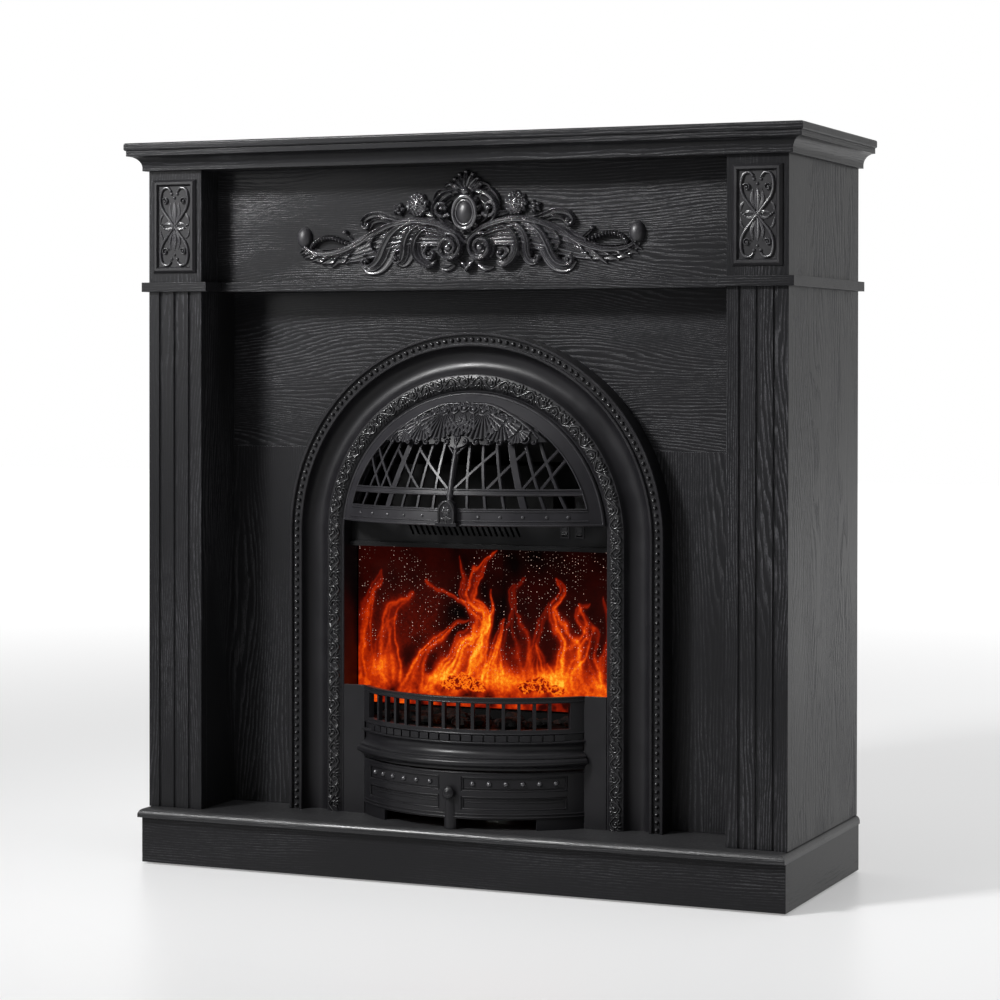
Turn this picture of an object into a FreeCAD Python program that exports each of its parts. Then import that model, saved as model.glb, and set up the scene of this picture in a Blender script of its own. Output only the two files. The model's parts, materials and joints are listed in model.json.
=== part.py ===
import FreeCAD, Part
import math
import os

# Electric fireplace in a carved mantel. Millimetres, +Z up, front faces -Y.
# The origin is on the floor under the middle of the top slab.

V = FreeCAD.Vector

# Mantel carcass
top_width = 1130.0
top_depth = 400.0
total_height = 1155.0
top_thick = 12.5
top_round = 3.0
overhang = 30.0  # slab beyond the carcass at the front and the sides
board = 15.0  # thickness of the carcass boards
cornice_height = 31.5
cornice_lip = 8.0
cornice_lip_height = 5.0
cornice_cove = 18.0
cornice_fillet = 1.0

# Pilasters, frieze and band
pilaster_width = 95.0
plate_thick = 18.0
flute_count = 3
flute_pitch = 26.5
flute_radius = 3.0
frieze_height = 178.5
frieze_recess = 54.0
band_thick = 15.0
band_lip = 7.0  # band cap in front of the pilaster
band_side_lip = 10.0
band_inner_lip = 12.0
band_centre_lip = 8.0  # band in front of the frieze board
recess_depth = 110.0  # pilaster face to the back panels
seam_drop = 248.5  # band down to the seam between upper and lower panels

# Base
hearth_height = 90.0
hearth_thick = 14.0
hearth_round = 10.0
hearth_side_lip = 5.0
hearth_front_lip = 30.0
plinth_setback = 12.0
plinth_side_setback = 2.0
glide_height = 3.0
glide_size = 30.0
block_size = 40.0
rail_height = 70.0
packer_width = 40.0

# Carved onlays
rosette_width = 77.0
rosette_height = 149.0
rosette_thick = 6.0
rosette_border = 9.0
rosette_sink = 3.0
ornament_foot = 18.0  # lowest scroll above the band
ornament_depth = 24.0
scroll_radii = (33.0, 29.0, 27.0)  # running scrolls from the middle outwards
scroll_disc = 0.7  # of the carving's depth
scroll_eye = 0.45
scroll_lap = 0.95  # neighbours run into one another
flower_radius = 23.0
flower_lift = 87.0
cartouche_radius = 36.0
cartouche_lift = 88.0
crest_leaf_count = 2  # each side of the middle leaf
crest_step = 26.0
crest_root = 20.0
crest_reach = 52.0
spray_reach = 128.0
leaf_width = 20.0

# Arched surround of the insert
arch_half = 317.5
arch_headroom = 65.0  # crown of the arch below the band
arch_proud = 42.0
rim_width = 22.5
rim_wall = 5.0
rim_channel = 5.0
cavetto_width = 42.5
cavetto_depth = 16.0
cavetto_flat_count = 6
foliage_width = 26.5
foliage_rise = 5.0
foliage_flat_count = 4
inner_lip = 2.5
inner_step = 6.0  # foliage band behind the rim's front
sleeve_wall = 4.5
sleeve_gap = 8.0  # sleeve to the edge of the panel opening
fit = 0.3  # clearance of pieces set into one another

# Domed lattice hood
hood_inset = 4.0
hood_sag = 90.0
hood_wall = 6.0
hood_lift = 20.0  # lower edge above the springing of the arch
hood_border = 19.0
hood_rail = 27.0
lattice_bar = 3.6
lattice_pitch = 27.0
lattice_half_count = 6
lattice_main = 4  # every fourth bar is a wide one
lattice_wide = 9.0
lattice_meet = 395.0  # where the upright bars would meet, above the lower edge
crossbar_lift = 20.0
crossbar_height = 9.0
brace_rise = 64.0
brace_span = 3  # bars crossed by a brace
brace_starts = (0, 2, 4, 5)  # bars at whose feet the braces start
fan_lift = 128.0
fan_margin = 3.0
fan_thick = 5.0
fan_lobe_count = 2  # each side of the middle lobe
fan_lobe = 30.0
fan_lobe_less = 5.0
fan_lobe_drop = 9.0
fan_lobe_pitch = 47.0
handle_half = 14.0
handle_height = 40.0
handle_proud = 9.0
handle_foot = 5.0

# Bow-front grate
grate_half = 187.0
grate_sag = 86.0
grate_height = 203.0
plate_back = 7.0  # side plates behind the arch front
plate_wall = 6.0
grate_rail = 9.0
bar_height = 40.0
bar_width = 5.0
bar_depth = 7.0
bar_inset = 1.0  # bars and feet behind the front of the bow
bar_step = 5.6  # degrees between the bars
bar_count = 14
stile_angle = 44.0
lower_rail = 5.0
dentil_height = 13.0
dentil_step = 3.6
dentil_width = 11.5
dentil_drop = 3.0  # dentils below the top of the moulding
dentil_proud = 2.0
dentil_base = 4.0
mould_flat_count = 4
mould_cove = 20.0
mould_fillet = 3.0
mould_out = 7.0
torus_height = 17.0
mould_wall = 8.0
cover_gap = 3.0
cover_foot_height = 17.0  # feet under the panelled lower front
cover_wall = 6.0
cover_rim = 7.0
cover_sink = 2.5
cover_bar = 7.0
cover_stile = 4.2  # degrees, half the central stile
cover_edge = 43.0
foot_angle = 31.5
leg_angle = 2.3
knob_radius = 10.0
knob_length = 12.0
tray_thick = 3.0

# Control strip, switches and flame screen
fascia_back = 30.0  # strip behind the arch front
fascia_thick = 3.0
fascia_top = 21.0  # above the springing
fascia_foot = 22.0  # below the springing
fascia_side_gap = 2.0
ledge_height = 7.0
ledge_proud = 6.0
slot_count = 20
slot_pitch = 9.6
slot_width = 4.0
slot_lean = 9.0
slot_centre = -27.0
slot_low = -2.0
slot_high = 17.0
switch_x = 146.0
switch_pitch = 24.0
switch_drop = 8.0  # switch centre above the springing
bezel_width = 15.0
bezel_height = 19.0
bezel_thick = 1.5
bezel_wall = 2.5
switch_depth = 16.0
rocker_gap = 0.5
rocker_end_gap = 0.9
rocker_rise = 2.2
rocker_tilt = 8.0
pivot_depth = 3.0  # rocker pin behind the strip's front
pin_radius = 1.2
pin_fit = 0.05
screen_thick = 4.0
screen_drop = 32.0  # lower edge below the top of the grate
frame_thick = 2.0
frame_border = 18.0

# Casing, heater and flame effect
sheet = 2.0
shell_depth = 155.0
shell_margin = 4.0  # shell outside the panel opening
flange = 18.0
shell_headroom = 18.0
housing_left = -150.0
housing_right = 125.0
housing_height = 122.0
intake_slot_count = 6
ptc_depth = 25.0
ptc_fin_count = 22
wheel_radius = 30.0
wheel_ring = 8.0
wheel_blade_count = 10
blade_lean = 30.0
shaft_radius = 3.0
shaft_fit = 0.05
wheel_back = 110.0  # wheel axis behind the fascia
wheel_lift = 62.0
wheel_end_gap = 9.0
motor_half = 20.0
motor_drop = 34.0
motor_length = 40.0
spindle_lift = 90.0
spindle_back = 65.0  # spindle axis behind the panels
spindle_motor_radius = 18.0
spindle_motor_length = 32.0
spindle_vane_count = 7
vane_reach = 13.0
tab_width = 30.0
led_count = 10
led_size = 5.0
cutout_radius = 9.0
tag_reach = 14.0
tag_half = 3.0
card_margin = 8.0
relay_count = 3
relay_size = 20.0
relay_pitch = 28.0
vent_row_count = 10
gland_radius = 9.0
gland_x = 180.0
gland_lift = 42.0
screw_radius = 4.0
screw_head = 2.5

# Derived places
half_top = top_width / 2
half = half_top - overhang
rear = top_depth / 2
front = overhang - rear
slab_z = total_height - top_thick
cornice_z = slab_z - cornice_height
inner = half - pilaster_width
plate_y = front + plate_thick
hearth_z = hearth_height
band_top = cornice_z - frieze_height
band_z = band_top - band_thick
pilaster_height = band_z - hearth_z
panel_seam = band_z - seam_drop
arch_height = pilaster_height - arch_headroom
frieze_y = front + frieze_recess
panel_y = front + recess_depth
panel_back = panel_y + board
arch_y = panel_y - arch_proud
spring_z = hearth_z + arch_height - arch_half
opening = arch_half - rim_width - cavetto_width - foliage_width - inner_lip
panel_opening = opening + sleeve_wall + sleeve_gap
hood_z = spring_z + hood_lift
grate_z = hearth_z + grate_height


def block(x0, x1, y0, y1, z0, z1):
    return Part.makeBox(x1 - x0, y1 - y0, z1 - z0, V(x0, y0, z0))


def cylinder_x(radius, x0, x1, y, z):
    return Part.makeCylinder(radius, x1 - x0, V(x0, y, z), V(1, 0, 0))


def cylinder_y(radius, y0, y1, x, z):
    return Part.makeCylinder(radius, y1 - y0, V(x, y0, z), V(0, 1, 0))


def loop(points):
    return Part.Face(Part.makePolygon(points + [points[0]]))


def line(a, b):
    return Part.LineSegment(a, b).toShape()


def arc(a, middle, b):
    return Part.Arc(a, middle, b).toShape()


# Points along the arc through three points, for mouldings that are turned in short flats.
def arc_points(a, middle, b, flats):
    curve = Part.Arc(a, middle, b)
    step = (curve.LastParameter - curve.FirstParameter) / flats
    return [curve.value(curve.FirstParameter + i * step) for i in range(flats + 1)]


def mirrored(shape):
    return shape.mirror(V(0, 0, 0), V(1, 0, 0))


def fused(shapes):
    return shapes[0].multiFuse(shapes[1:]).removeSplitter()


def save(name, shape):
    shape.exportStep("parts/" + name + ".step")


def save_pair(name, right_shape):
    save(name + "_right", right_shape)
    save(name + "_left", mirrored(right_shape))


def edges_at(shape, test):
    return [edge for edge in shape.Edges if test(edge.CenterOfMass, edge)]


def is_near(a, b):
    return abs(a - b) < 1e-6


# The slab has eased upper and lower edges at the front and the sides.
def mantel_top():
    slab = block(-half_top, half_top, -rear, rear, slab_z, total_height)
    level = (slab_z, total_height)
    picked = edges_at(slab, lambda c, e: any(is_near(c.z, z) for z in level) and not is_near(c.y, rear))
    return slab.makeFillet(min(top_round, 0.4 * top_thick), picked)


# Profile of the cornice: lip, cove, fillet and step, outwards from the carcass.
def cornice_profile(place):
    cove_z = cornice_lip_height + cornice_cove
    cove_out = cornice_lip + cornice_cove
    dip = cornice_cove * math.sqrt(0.5)
    step = cove_out + cornice_fillet
    start = place(cornice_lip, cornice_lip_height)
    middle = place(cove_out - dip, cornice_lip_height + dip)
    end = place(cove_out, cove_z)
    edges = [
        line(place(0, 0), place(cornice_lip, 0)),
        line(place(cornice_lip, 0), start),
        arc(start, middle, end),
        line(end, place(step, cove_z)),
        line(place(step, cove_z), place(step, cornice_height)),
        line(place(step, cornice_height), place(0, cornice_height)),
        line(place(0, cornice_height), place(0, 0)),
    ]
    return Part.Face(Part.Wire(edges))


# The three mouldings meet on mitres at the front corners.
def cornice_front():
    profile = cornice_profile(lambda out, up: V(-half_top, front - out, cornice_z + up))
    strip = profile.extrude(V(top_width, 0, 0))
    corners = [
        V(-half, front, cornice_z),
        V(half, front, cornice_z),
        V(half_top, front - overhang, cornice_z),
        V(-half_top, front - overhang, cornice_z),
    ]
    return strip.common(loop(corners).extrude(V(0, 0, cornice_height)))


def cornice_side():
    profile = cornice_profile(lambda out, up: V(half + out, rear, cornice_z + up))
    strip = profile.extrude(V(0, front - overhang - rear, 0))
    corners = [
        V(half, rear, cornice_z),
        V(half, front, cornice_z),
        V(half_top, front - overhang, cornice_z),
        V(half_top, rear, cornice_z),
    ]
    return strip.common(loop(corners).extrude(V(0, 0, cornice_height)))


def sub_top():
    return block(-half, half, front, rear, cornice_z, cornice_z + board)


def frieze_board():
    return block(-inner, inner, frieze_y, frieze_y + board, band_top, cornice_z)


# End block of the frieze: a face plate with a return to the frieze board.
def frieze_block():
    face = block(inner, half, front, plate_y, band_top, cornice_z)
    back = block(inner, inner + board, plate_y, frieze_y + board, band_top, cornice_z)
    return fused([face, back])


def band_centre():
    edge = inner - band_inner_lip
    return block(-edge, edge, frieze_y - band_centre_lip, panel_back, band_z, band_top)


# The band cap laps the pilaster and runs back along the side panel.
def band_cap():
    edge = inner - band_inner_lip
    outer = half + band_side_lip
    nose = block(edge, outer, front - band_lip, plate_y, band_z, band_top)
    shelf = block(edge, half - board, plate_y, panel_back, band_z, band_top)
    strip = block(half, outer, plate_y, rear, band_z, band_top)
    return fused([nose, shelf, strip])


def pilaster():
    plate = block(inner, half, front, plate_y, hearth_z, band_z)
    middle = (inner + half) / 2
    for i in range(flute_count):
        x = middle + (i - (flute_count - 1) / 2) * flute_pitch
        flute = Part.makeCylinder(flute_radius, pilaster_height, V(x, front, hearth_z))
        plate = plate.cut(flute)
    return plate


def cheek():
    return block(inner, inner + board, plate_y, panel_back, hearth_z, band_z)


def side():
    return block(half - board, half, plate_y, rear, hearth_z, cornice_z)


# Prism of an arched outline: straight legs and a half round on the springing.
def arch_prism(radius, y0, y1):
    legs = block(-radius, radius, y0, y1, hearth_z, spring_z)
    crown = cylinder_y(radius, y0, y1, 0, spring_z)
    return fused([legs, crown])


def back_panels():
    whole = block(-inner, inner, panel_y, panel_back, hearth_z, band_z)
    holed = whole.cut(arch_prism(panel_opening, panel_y, panel_back))
    upper = holed.common(block(-inner, inner, panel_y, panel_back, panel_seam, band_z))
    right = holed.common(block(0, inner, panel_y, panel_back, hearth_z, panel_seam))
    return upper, right


def hearth_board():
    reach = half + hearth_side_lip
    nose = front - hearth_front_lip
    slab = block(-reach, reach, nose, rear, hearth_z - hearth_thick, hearth_z)
    picked = edges_at(slab, lambda c, e: is_near(c.z, hearth_z) and not is_near(c.y, rear))
    return slab.makeFillet(min(hearth_round, 0.8 * hearth_thick), picked)


plinth_half = half + hearth_side_lip - plinth_side_setback
plinth_y = front - hearth_front_lip + plinth_setback
plinth_top = hearth_z - hearth_thick


def plinth_front():
    return block(-plinth_half, plinth_half, plinth_y, plinth_y + board, glide_height, plinth_top)


def plinth_side():
    return block(plinth_half - board, plinth_half, plinth_y + board, rear, glide_height, plinth_top)


def corner_places():
    x = plinth_half - board - block_size
    for x0 in (-plinth_half + board, -block_size / 2, x):
        for y0 in (plinth_y + board, rear - board - block_size):
            yield x0, y0


# Rear rails, packers under the slab and the blocks inside the plinth.
def carcass_battens():
    edge = half - board
    packer_z = cornice_z + board
    battens = [
        block(-edge, edge, rear - board, rear, cornice_z - rail_height, cornice_z),
        block(-edge, edge, rear - board, rear, band_z - rail_height, band_z),
        block(-plinth_half + board, plinth_half - board, rear - board, rear, glide_height, plinth_top),
        block(-half, half, front, front + packer_width, packer_z, slab_z),
        block(-half, half, rear - packer_width, rear, packer_z, slab_z),
    ]
    for x0, y0 in corner_places():
        battens.append(block(x0, x0 + block_size, y0, y0 + block_size, glide_height, plinth_top))
    return Part.makeCompound(battens)


def floor_glides():
    glides = []
    margin = (block_size - glide_size) / 2
    for x0, y0 in corner_places():
        x = x0 + margin
        y = y0 + margin
        glides.append(block(x, x + glide_size, y, y + glide_size, 0, glide_height))
    return Part.makeCompound(glides)


# Scroll: a raised eye on a disc.
def scroll(x, z, radius):
    disc = cylinder_y(radius, frieze_y - scroll_disc * ornament_depth, frieze_y, x, z)
    eye = cylinder_y(scroll_eye * radius, frieze_y - ornament_depth, frieze_y, x, z)
    return [disc, eye]


# Crescent leaf between two arcs through the same ends.
def crescent(tip, outer_middle, inner_middle, root):
    def at(point):
        return V(point[0], frieze_y, point[1])
    edges = [arc(at(tip), at(outer_middle), at(root)), arc(at(root), at(inner_middle), at(tip))]
    return Part.Face(Part.Wire(edges)).extrude(V(0, -scroll_disc * ornament_depth, 0))


# Upright plaque: bevelled border, sunk field and the leaves of two opposed tulips.
def rosette():
    x = (inner + half) / 2
    z = (band_top + cornice_z) / 2
    y = front - rosette_thick
    w = rosette_width / 2
    h = rosette_height / 2
    plaque = block(x - w, x + w, y, front, z - h, z + h)
    picked = edges_at(plaque, lambda c, e: is_near(c.y, y))
    plaque = plaque.makeChamfer(min(0.6 * rosette_border, 0.7 * rosette_thick), picked)
    fw = w - rosette_border
    fh = h - rosette_border
    field_y = y + rosette_sink
    pieces = [plaque.cut(block(x - fw, x + fw, y, field_y, z - fh, z + fh))]
    for up in (1, -1):
        for out in (1, -1):
            corners = [
                V(x - out * 0.15 * fw, field_y, z - up * 0.08 * fh),
                V(x + out * 0.85 * fw, field_y, z + up * 0.5 * fh),
                V(x + out * 0.2 * fw, field_y, z + up * 0.9 * fh),
                V(x + out * 0.4 * fw, field_y, z + up * 0.45 * fh),
            ]
            pieces.append(loop(corners).extrude(V(0, -rosette_sink, 0)))
    return fused(pieces)


# Carved onlay of the frieze: a cartouche with a fan crest between running scrolls and leaf sprays.
def frieze_ornament():
    y = frieze_y
    z = band_top + ornament_foot
    crest_z = z + cartouche_lift + cartouche_radius - crest_root
    pieces = scroll(0, z + cartouche_lift, cartouche_radius)
    for i in range(-crest_leaf_count, crest_leaf_count + 1):
        lean = math.radians(crest_step * i)
        tip = V(crest_reach * math.sin(lean), y, crest_z + crest_reach * math.cos(lean))
        belly = (tip + V(0, y, crest_z)) / 2
        aside = V(crest_root * math.cos(lean) / 2, 0, -crest_root * math.sin(lean) / 2)
        leaf = loop([V(0, y, crest_z), belly + aside, tip, belly - aside])
        pieces.append(leaf.extrude(V(0, -scroll_disc * ornament_depth, 0)))
    wing = []
    x = 0
    for radius in scroll_radii:
        x += scroll_lap * radius
        wing += scroll(x, z + radius, radius)
        x += scroll_lap * radius
    wing += scroll(scroll_radii[0] + scroll_radii[1], z + flower_lift, flower_radius)
    low = z + scroll_radii[0]
    high = low + scroll_radii[0]
    middle = 0.55 * x
    end = x + spray_reach
    bow = 0.8 * end
    top = high + leaf_width / 3
    wing.append(crescent((0.1 * x, low), (middle, top), (middle, high - leaf_width), (x, low)))
    wing.append(crescent((end, high), (bow, z), (bow, z + leaf_width), (0.8 * x, low)))
    wing.append(crescent((0.9 * end, low + leaf_width / 3), (bow, high), (bow, high - leaf_width), (x, low)))
    pieces += wing
    pieces += [mirrored(piece) for piece in wing]
    return fused(pieces)


# Section of the surround, from the opening outwards: lip, foliage band, cavetto, beaded rim.
def arch_section(z):
    def at(radius, y):
        return V(radius, y, z)
    lip_r = opening + inner_lip
    cavetto_r = lip_r + foliage_width
    rim_r = cavetto_r + cavetto_width
    band_y = arch_y + inner_step
    channel_y = arch_y + rim_channel
    sleeve_r = opening + sleeve_wall
    points = [
        at(opening, band_y),
        at(opening, panel_back - screen_thick / 4),
        at(sleeve_r, panel_back - screen_thick / 4),
        at(sleeve_r, panel_y),
        at(arch_half, panel_y),
        at(arch_half, arch_y),
        at(arch_half - rim_wall, arch_y),
        at(arch_half - rim_wall, channel_y),
        at(rim_r + rim_wall, channel_y),
        at(rim_r + rim_wall, arch_y),
    ]
    hollow = at((cavetto_r + rim_r) / 2, band_y + cavetto_depth)
    points += arc_points(at(rim_r, arch_y), hollow, at(cavetto_r, band_y), cavetto_flat_count)
    crest = at(lip_r + foliage_width / 2, band_y - foliage_rise)
    points += arc_points(at(cavetto_r, band_y), crest, at(lip_r, band_y), foliage_flat_count)[1:]
    return loop(points)


def arch_frame():
    leg = arch_section(hearth_z).extrude(V(0, 0, spring_z - hearth_z))
    crown = arch_section(spring_z).revolve(V(0, 0, spring_z), V(0, -1, 0), 180)
    return fused([crown, leg, mirrored(leg)])


# The hood is part of a sphere, set into the opening.
hood_edge_y = arch_y + hood_inset
hood_rim = opening - fit
hood_radius = (hood_rim ** 2 + hood_sag ** 2) / (2 * hood_sag)
hood_centre = V(0, hood_edge_y - hood_sag + hood_radius, spring_z)
rail_z = hood_z + hood_rail
window_radius = hood_rim - hood_border


def dome(outer, inner_radius):
    shell = Part.makeSphere(outer, hood_centre).cut(Part.makeSphere(inner_radius, hood_centre))
    room = block(-opening, opening, hood_edge_y - 2 * hood_sag, hood_edge_y, hood_z, spring_z + opening)
    return shell.common(room)


def upright_x(index, z):
    meet_z = hood_z + lattice_meet
    cross_z = rail_z + crossbar_lift
    return index * lattice_pitch * (meet_z - z) / (meet_z - cross_z)


# Straight bar in front view, as a prism through the dome.
def lattice_strip(x0, z0, x1, z1, width):
    y0 = hood_edge_y - 2 * hood_sag
    run = math.hypot(x1 - x0, z1 - z0)
    ox = (z1 - z0) / run * width / 2
    oz = -(x1 - x0) / run * width / 2
    corners = [
        V(x0 + ox, y0, z0 + oz),
        V(x1 + ox, y0, z1 + oz),
        V(x1 - ox, y0, z1 - oz),
        V(x0 - ox, y0, z0 - oz),
    ]
    return loop(corners).extrude(V(0, 2 * hood_sag, 0))


def lattice_strips():
    low = rail_z - lattice_bar
    high = spring_z + hood_rim
    strips = []
    for i in range(-lattice_half_count, lattice_half_count + 1):
        width = lattice_bar if i % lattice_main else lattice_wide
        strips.append(lattice_strip(upright_x(i, low), low, upright_x(i, high), high, width))
    cross_z = rail_z + crossbar_lift
    middle = cross_z + crossbar_height / 2
    strips.append(lattice_strip(-hood_rim, middle, hood_rim, middle, crossbar_height))
    foot_z = middle
    head_z = foot_z + brace_rise
    for i in brace_starts:
        for hand in (1, -1):
            x0 = hand * upright_x(i, foot_z)
            x1 = hand * upright_x(i + brace_span, head_z)
            strips.append(lattice_strip(x0, foot_z, x1, head_z, lattice_bar))
    return strips


def window_prism(radius, floor_z):
    y0 = hood_edge_y - 2 * hood_sag
    disc = cylinder_y(radius, y0, hood_edge_y, 0, spring_z)
    return disc.common(block(-radius, radius, y0, hood_edge_y, floor_z, spring_z + radius))


def hood():
    room = block(-hood_rim, hood_rim, hood_edge_y, hood_edge_y + hood_wall, hood_z, spring_z + hood_rim)
    seat = cylinder_y(hood_rim, hood_edge_y, hood_edge_y + hood_wall, 0, spring_z)
    seat = seat.cut(cylinder_y(window_radius, hood_edge_y, hood_edge_y + hood_wall, 0, spring_z))
    shell = dome(hood_radius, hood_radius - hood_wall)
    panes = window_prism(window_radius, rail_z).cut(fused(lattice_strips()))
    return fused([shell.cut(panes), seat.common(room)])


# Shell casting over the top of the lattice, with a lobed lower edge.
def hood_fan():
    y0 = hood_edge_y - 2 * hood_sag
    edge = window_radius - fan_margin
    base_z = hood_z + fan_lift
    lobes = [window_prism(edge, base_z)]
    for i in range(-fan_lobe_count, fan_lobe_count + 1):
        radius = fan_lobe - abs(i) * fan_lobe_less
        drop = fan_lobe_drop / (1 + abs(i))
        lobes.append(cylinder_y(radius, y0, hood_edge_y, i * fan_lobe_pitch, base_z + radius - drop))
    outline = fused(lobes).common(cylinder_y(edge, y0, hood_edge_y, 0, spring_z))
    return outline.common(dome(hood_radius + fan_thick, hood_radius + fit / 3))


# Shield-shaped pull on the middle of the hood's rail.
def hood_handle():
    y = hood_edge_y - hood_sag - handle_proud
    shoulder = hood_z + 0.6 * handle_height
    top = V(0, y, hood_z + handle_height)
    right = V(handle_half, y, shoulder)
    left = V(-handle_half, y, shoulder)
    foot_right = V(handle_half, y, hood_z)
    foot_left = V(-handle_half, y, hood_z)
    bulge = V(0.7 * handle_half, y, hood_z + 0.88 * handle_height)
    bulge_left = V(-0.7 * handle_half, y, hood_z + 0.88 * handle_height)
    edges = [
        line(foot_left, foot_right),
        line(foot_right, right),
        arc(right, bulge, top),
        arc(top, bulge_left, left),
        line(left, foot_left),
    ]
    shield = Part.Face(Part.Wire(edges)).extrude(V(0, 2 * handle_proud, 0))
    reach = 1.25 * handle_half
    foot = block(-reach, reach, y - handle_foot / 2, y + 2 * handle_proud, hood_z, hood_z + handle_foot)
    return fused([shield, foot]).cut(Part.makeSphere(hood_radius + fit / 3, hood_centre))


# The grate bows forward about an upright axis behind the opening.
grate_y = arch_y + plate_back
bow_radius = (grate_half ** 2 + grate_sag ** 2) / (2 * grate_sag)
bow_y = grate_y - grate_sag + bow_radius
bow_angle = math.degrees(math.asin(grate_half / bow_radius))
bars_top = grate_z - grate_rail
bars_foot = bars_top - bar_height
mould_top = bars_foot - lower_rail
torus_top = mould_top - dentil_height - dentil_base - mould_cove - mould_fillet
mould_foot = torus_top - torus_height
cover_top = mould_foot - cover_gap
cover_foot = hearth_z + cover_foot_height
cover_height = cover_top - cover_foot


def bow_point(radius, angle, z):
    turn = math.radians(angle)
    return V(radius * math.sin(turn), bow_y - radius * math.cos(turn), z)


# Part of a ring about the grate's axis, between two angles from straight ahead.
def bow_sector(r0, r1, z0, z1, a0, a1):
    middle = (a0 + a1) / 2
    edges = [
        arc(bow_point(r1, a0, z0), bow_point(r1, middle, z0), bow_point(r1, a1, z0)),
        line(bow_point(r1, a1, z0), bow_point(r0, a1, z0)),
        arc(bow_point(r0, a1, z0), bow_point(r0, middle, z0), bow_point(r0, a0, z0)),
        line(bow_point(r0, a0, z0), bow_point(r1, a0, z0)),
    ]
    return Part.Face(Part.Wire(edges)).extrude(V(0, 0, z1 - z0))


# Turns a piece made about the origin to its angle on the bow.
def placed_on_bow(shape, angle):
    shape.rotate(V(0, 0, 0), V(0, 0, 1), angle)
    shape.translate(V(0, bow_y, 0))
    return shape


def grate_plate():
    return block(grate_half, opening - fit, grate_y, grate_y + plate_wall, hearth_z, grate_z)


def grate_front():
    r0 = bow_radius - grate_rail
    pieces = [
        bow_sector(r0, bow_radius, bars_top, grate_z, -bow_angle, bow_angle),
        bow_sector(r0, bow_radius, mould_top, bars_foot, -bow_angle, bow_angle),
        bow_sector(r0, bow_radius, bars_foot, bars_top, stile_angle, bow_angle),
        bow_sector(r0, bow_radius, bars_foot, bars_top, -bow_angle, -stile_angle),
    ]
    for i in range(bar_count):
        angle = (i - (bar_count - 1) / 2) * bar_step
        y0 = bar_inset - bow_radius
        bar = block(-bar_width / 2, bar_width / 2, y0, y0 + bar_depth, bars_foot, bars_top)
        pieces.append(placed_on_bow(bar, angle))
    return fused(pieces)


# Dentil row, cove and torus turned about the grate's axis.
def grate_moulding():
    def at(out, z):
        return bow_point(bow_radius + out, -bow_angle, z)
    dentil_foot = mould_top - dentil_height
    cove_top = dentil_foot - dentil_base
    cove_foot = cove_top - mould_cove
    cove_middle = at(-0.35 * mould_out, (cove_top + cove_foot) / 2)
    torus_middle = at(1.9 * mould_out, (torus_top + mould_foot) / 2)
    points = [
        at(-mould_wall, mould_foot),
        at(-mould_wall, mould_top),
        at(0, mould_top),
        at(0, dentil_foot),
        at(dentil_proud, dentil_foot),
    ]
    points += arc_points(at(dentil_proud, cove_top), cove_middle, at(mould_out, cove_foot), mould_flat_count)
    points += arc_points(at(mould_out, torus_top), torus_middle, at(mould_out, mould_foot), mould_flat_count)
    pieces = [loop(points).revolve(V(0, bow_y, 0), V(0, 0, 1), 2 * bow_angle)]
    count = int(2 * stile_angle / dentil_step)
    for i in range(count):
        angle = (i - (count - 1) / 2) * dentil_step
        y0 = -bow_radius - dentil_proud
        reach = dentil_width / 2
        dentil = block(-reach, reach, y0, y0 + mould_wall, dentil_foot, mould_top - dentil_drop)
        pieces.append(placed_on_bow(dentil, angle))
    return fused(pieces)


# Panelled lower front on feet, with two sunk strips each side of the middle stile.
def ashpan_cover():
    r0 = bow_radius - cover_wall
    cover = bow_sector(r0, bow_radius, cover_foot, cover_top, -bow_angle, bow_angle)
    field_top = cover_top - cover_rim
    field_foot = cover_foot + 2 * cover_rim
    split = field_top - 0.45 * (field_top - field_foot)
    for hand in (1, -1):
        a0, a1 = sorted((hand * cover_stile, hand * cover_edge))
        for z0, z1 in ((split, field_top), (field_foot, split - cover_bar)):
            cover = cover.cut(bow_sector(bow_radius - cover_sink, bow_radius + cover_sink, z0, z1, a0, a1))
    feet = [cover]
    for a0, a1 in ((foot_angle, bow_angle), (-bow_angle, -foot_angle), (-leg_angle, leg_angle)):
        feet.append(bow_sector(r0, bow_radius - bar_inset, hearth_z, cover_foot, a0, a1))
    return fused(feet)


def knob_centre():
    return V(0, bow_y - bow_radius, cover_top - 0.45 * cover_height)


# Turned knob: a stem and a tapered head on the middle stile.
def ashpan_knob():
    centre = knob_centre()
    stem = 0.35 * knob_length
    points = [
        V(0, centre.y + cover_wall / 2, centre.z),
        V(0.6 * knob_radius, centre.y + cover_wall / 2, centre.z),
        V(0.6 * knob_radius, centre.y - stem, centre.z),
        V(knob_radius, centre.y - stem, centre.z),
        V(0.7 * knob_radius, centre.y - knob_length, centre.z),
        V(0, centre.y - knob_length, centre.z),
    ]
    knob = loop(points).revolve(centre, V(0, 1, 0), 360)
    return knob.cut(Part.makeCylinder(bow_radius, total_height, V(0, bow_y, 0)))


screen_y = panel_back - screen_thick / 4


# Dark tray behind the bars, from the bow back to the screen.
def ember_tray():
    radius = bow_radius - grate_rail - fit
    disc = Part.makeCylinder(radius, tray_thick, V(0, bow_y, mould_top))
    reach = grate_half - fit
    room = block(-reach, reach, grate_y - grate_sag, screen_y, mould_top, mould_top + tray_thick)
    return disc.common(room)


# Control strip under the hood: slanted outlet slots, two switch holes and a ledge over the screen.
fascia_y = arch_y + fascia_back
fascia_low = spring_z - fascia_foot


def switch_places():
    for i in range(2):
        yield switch_x + i * switch_pitch


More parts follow.
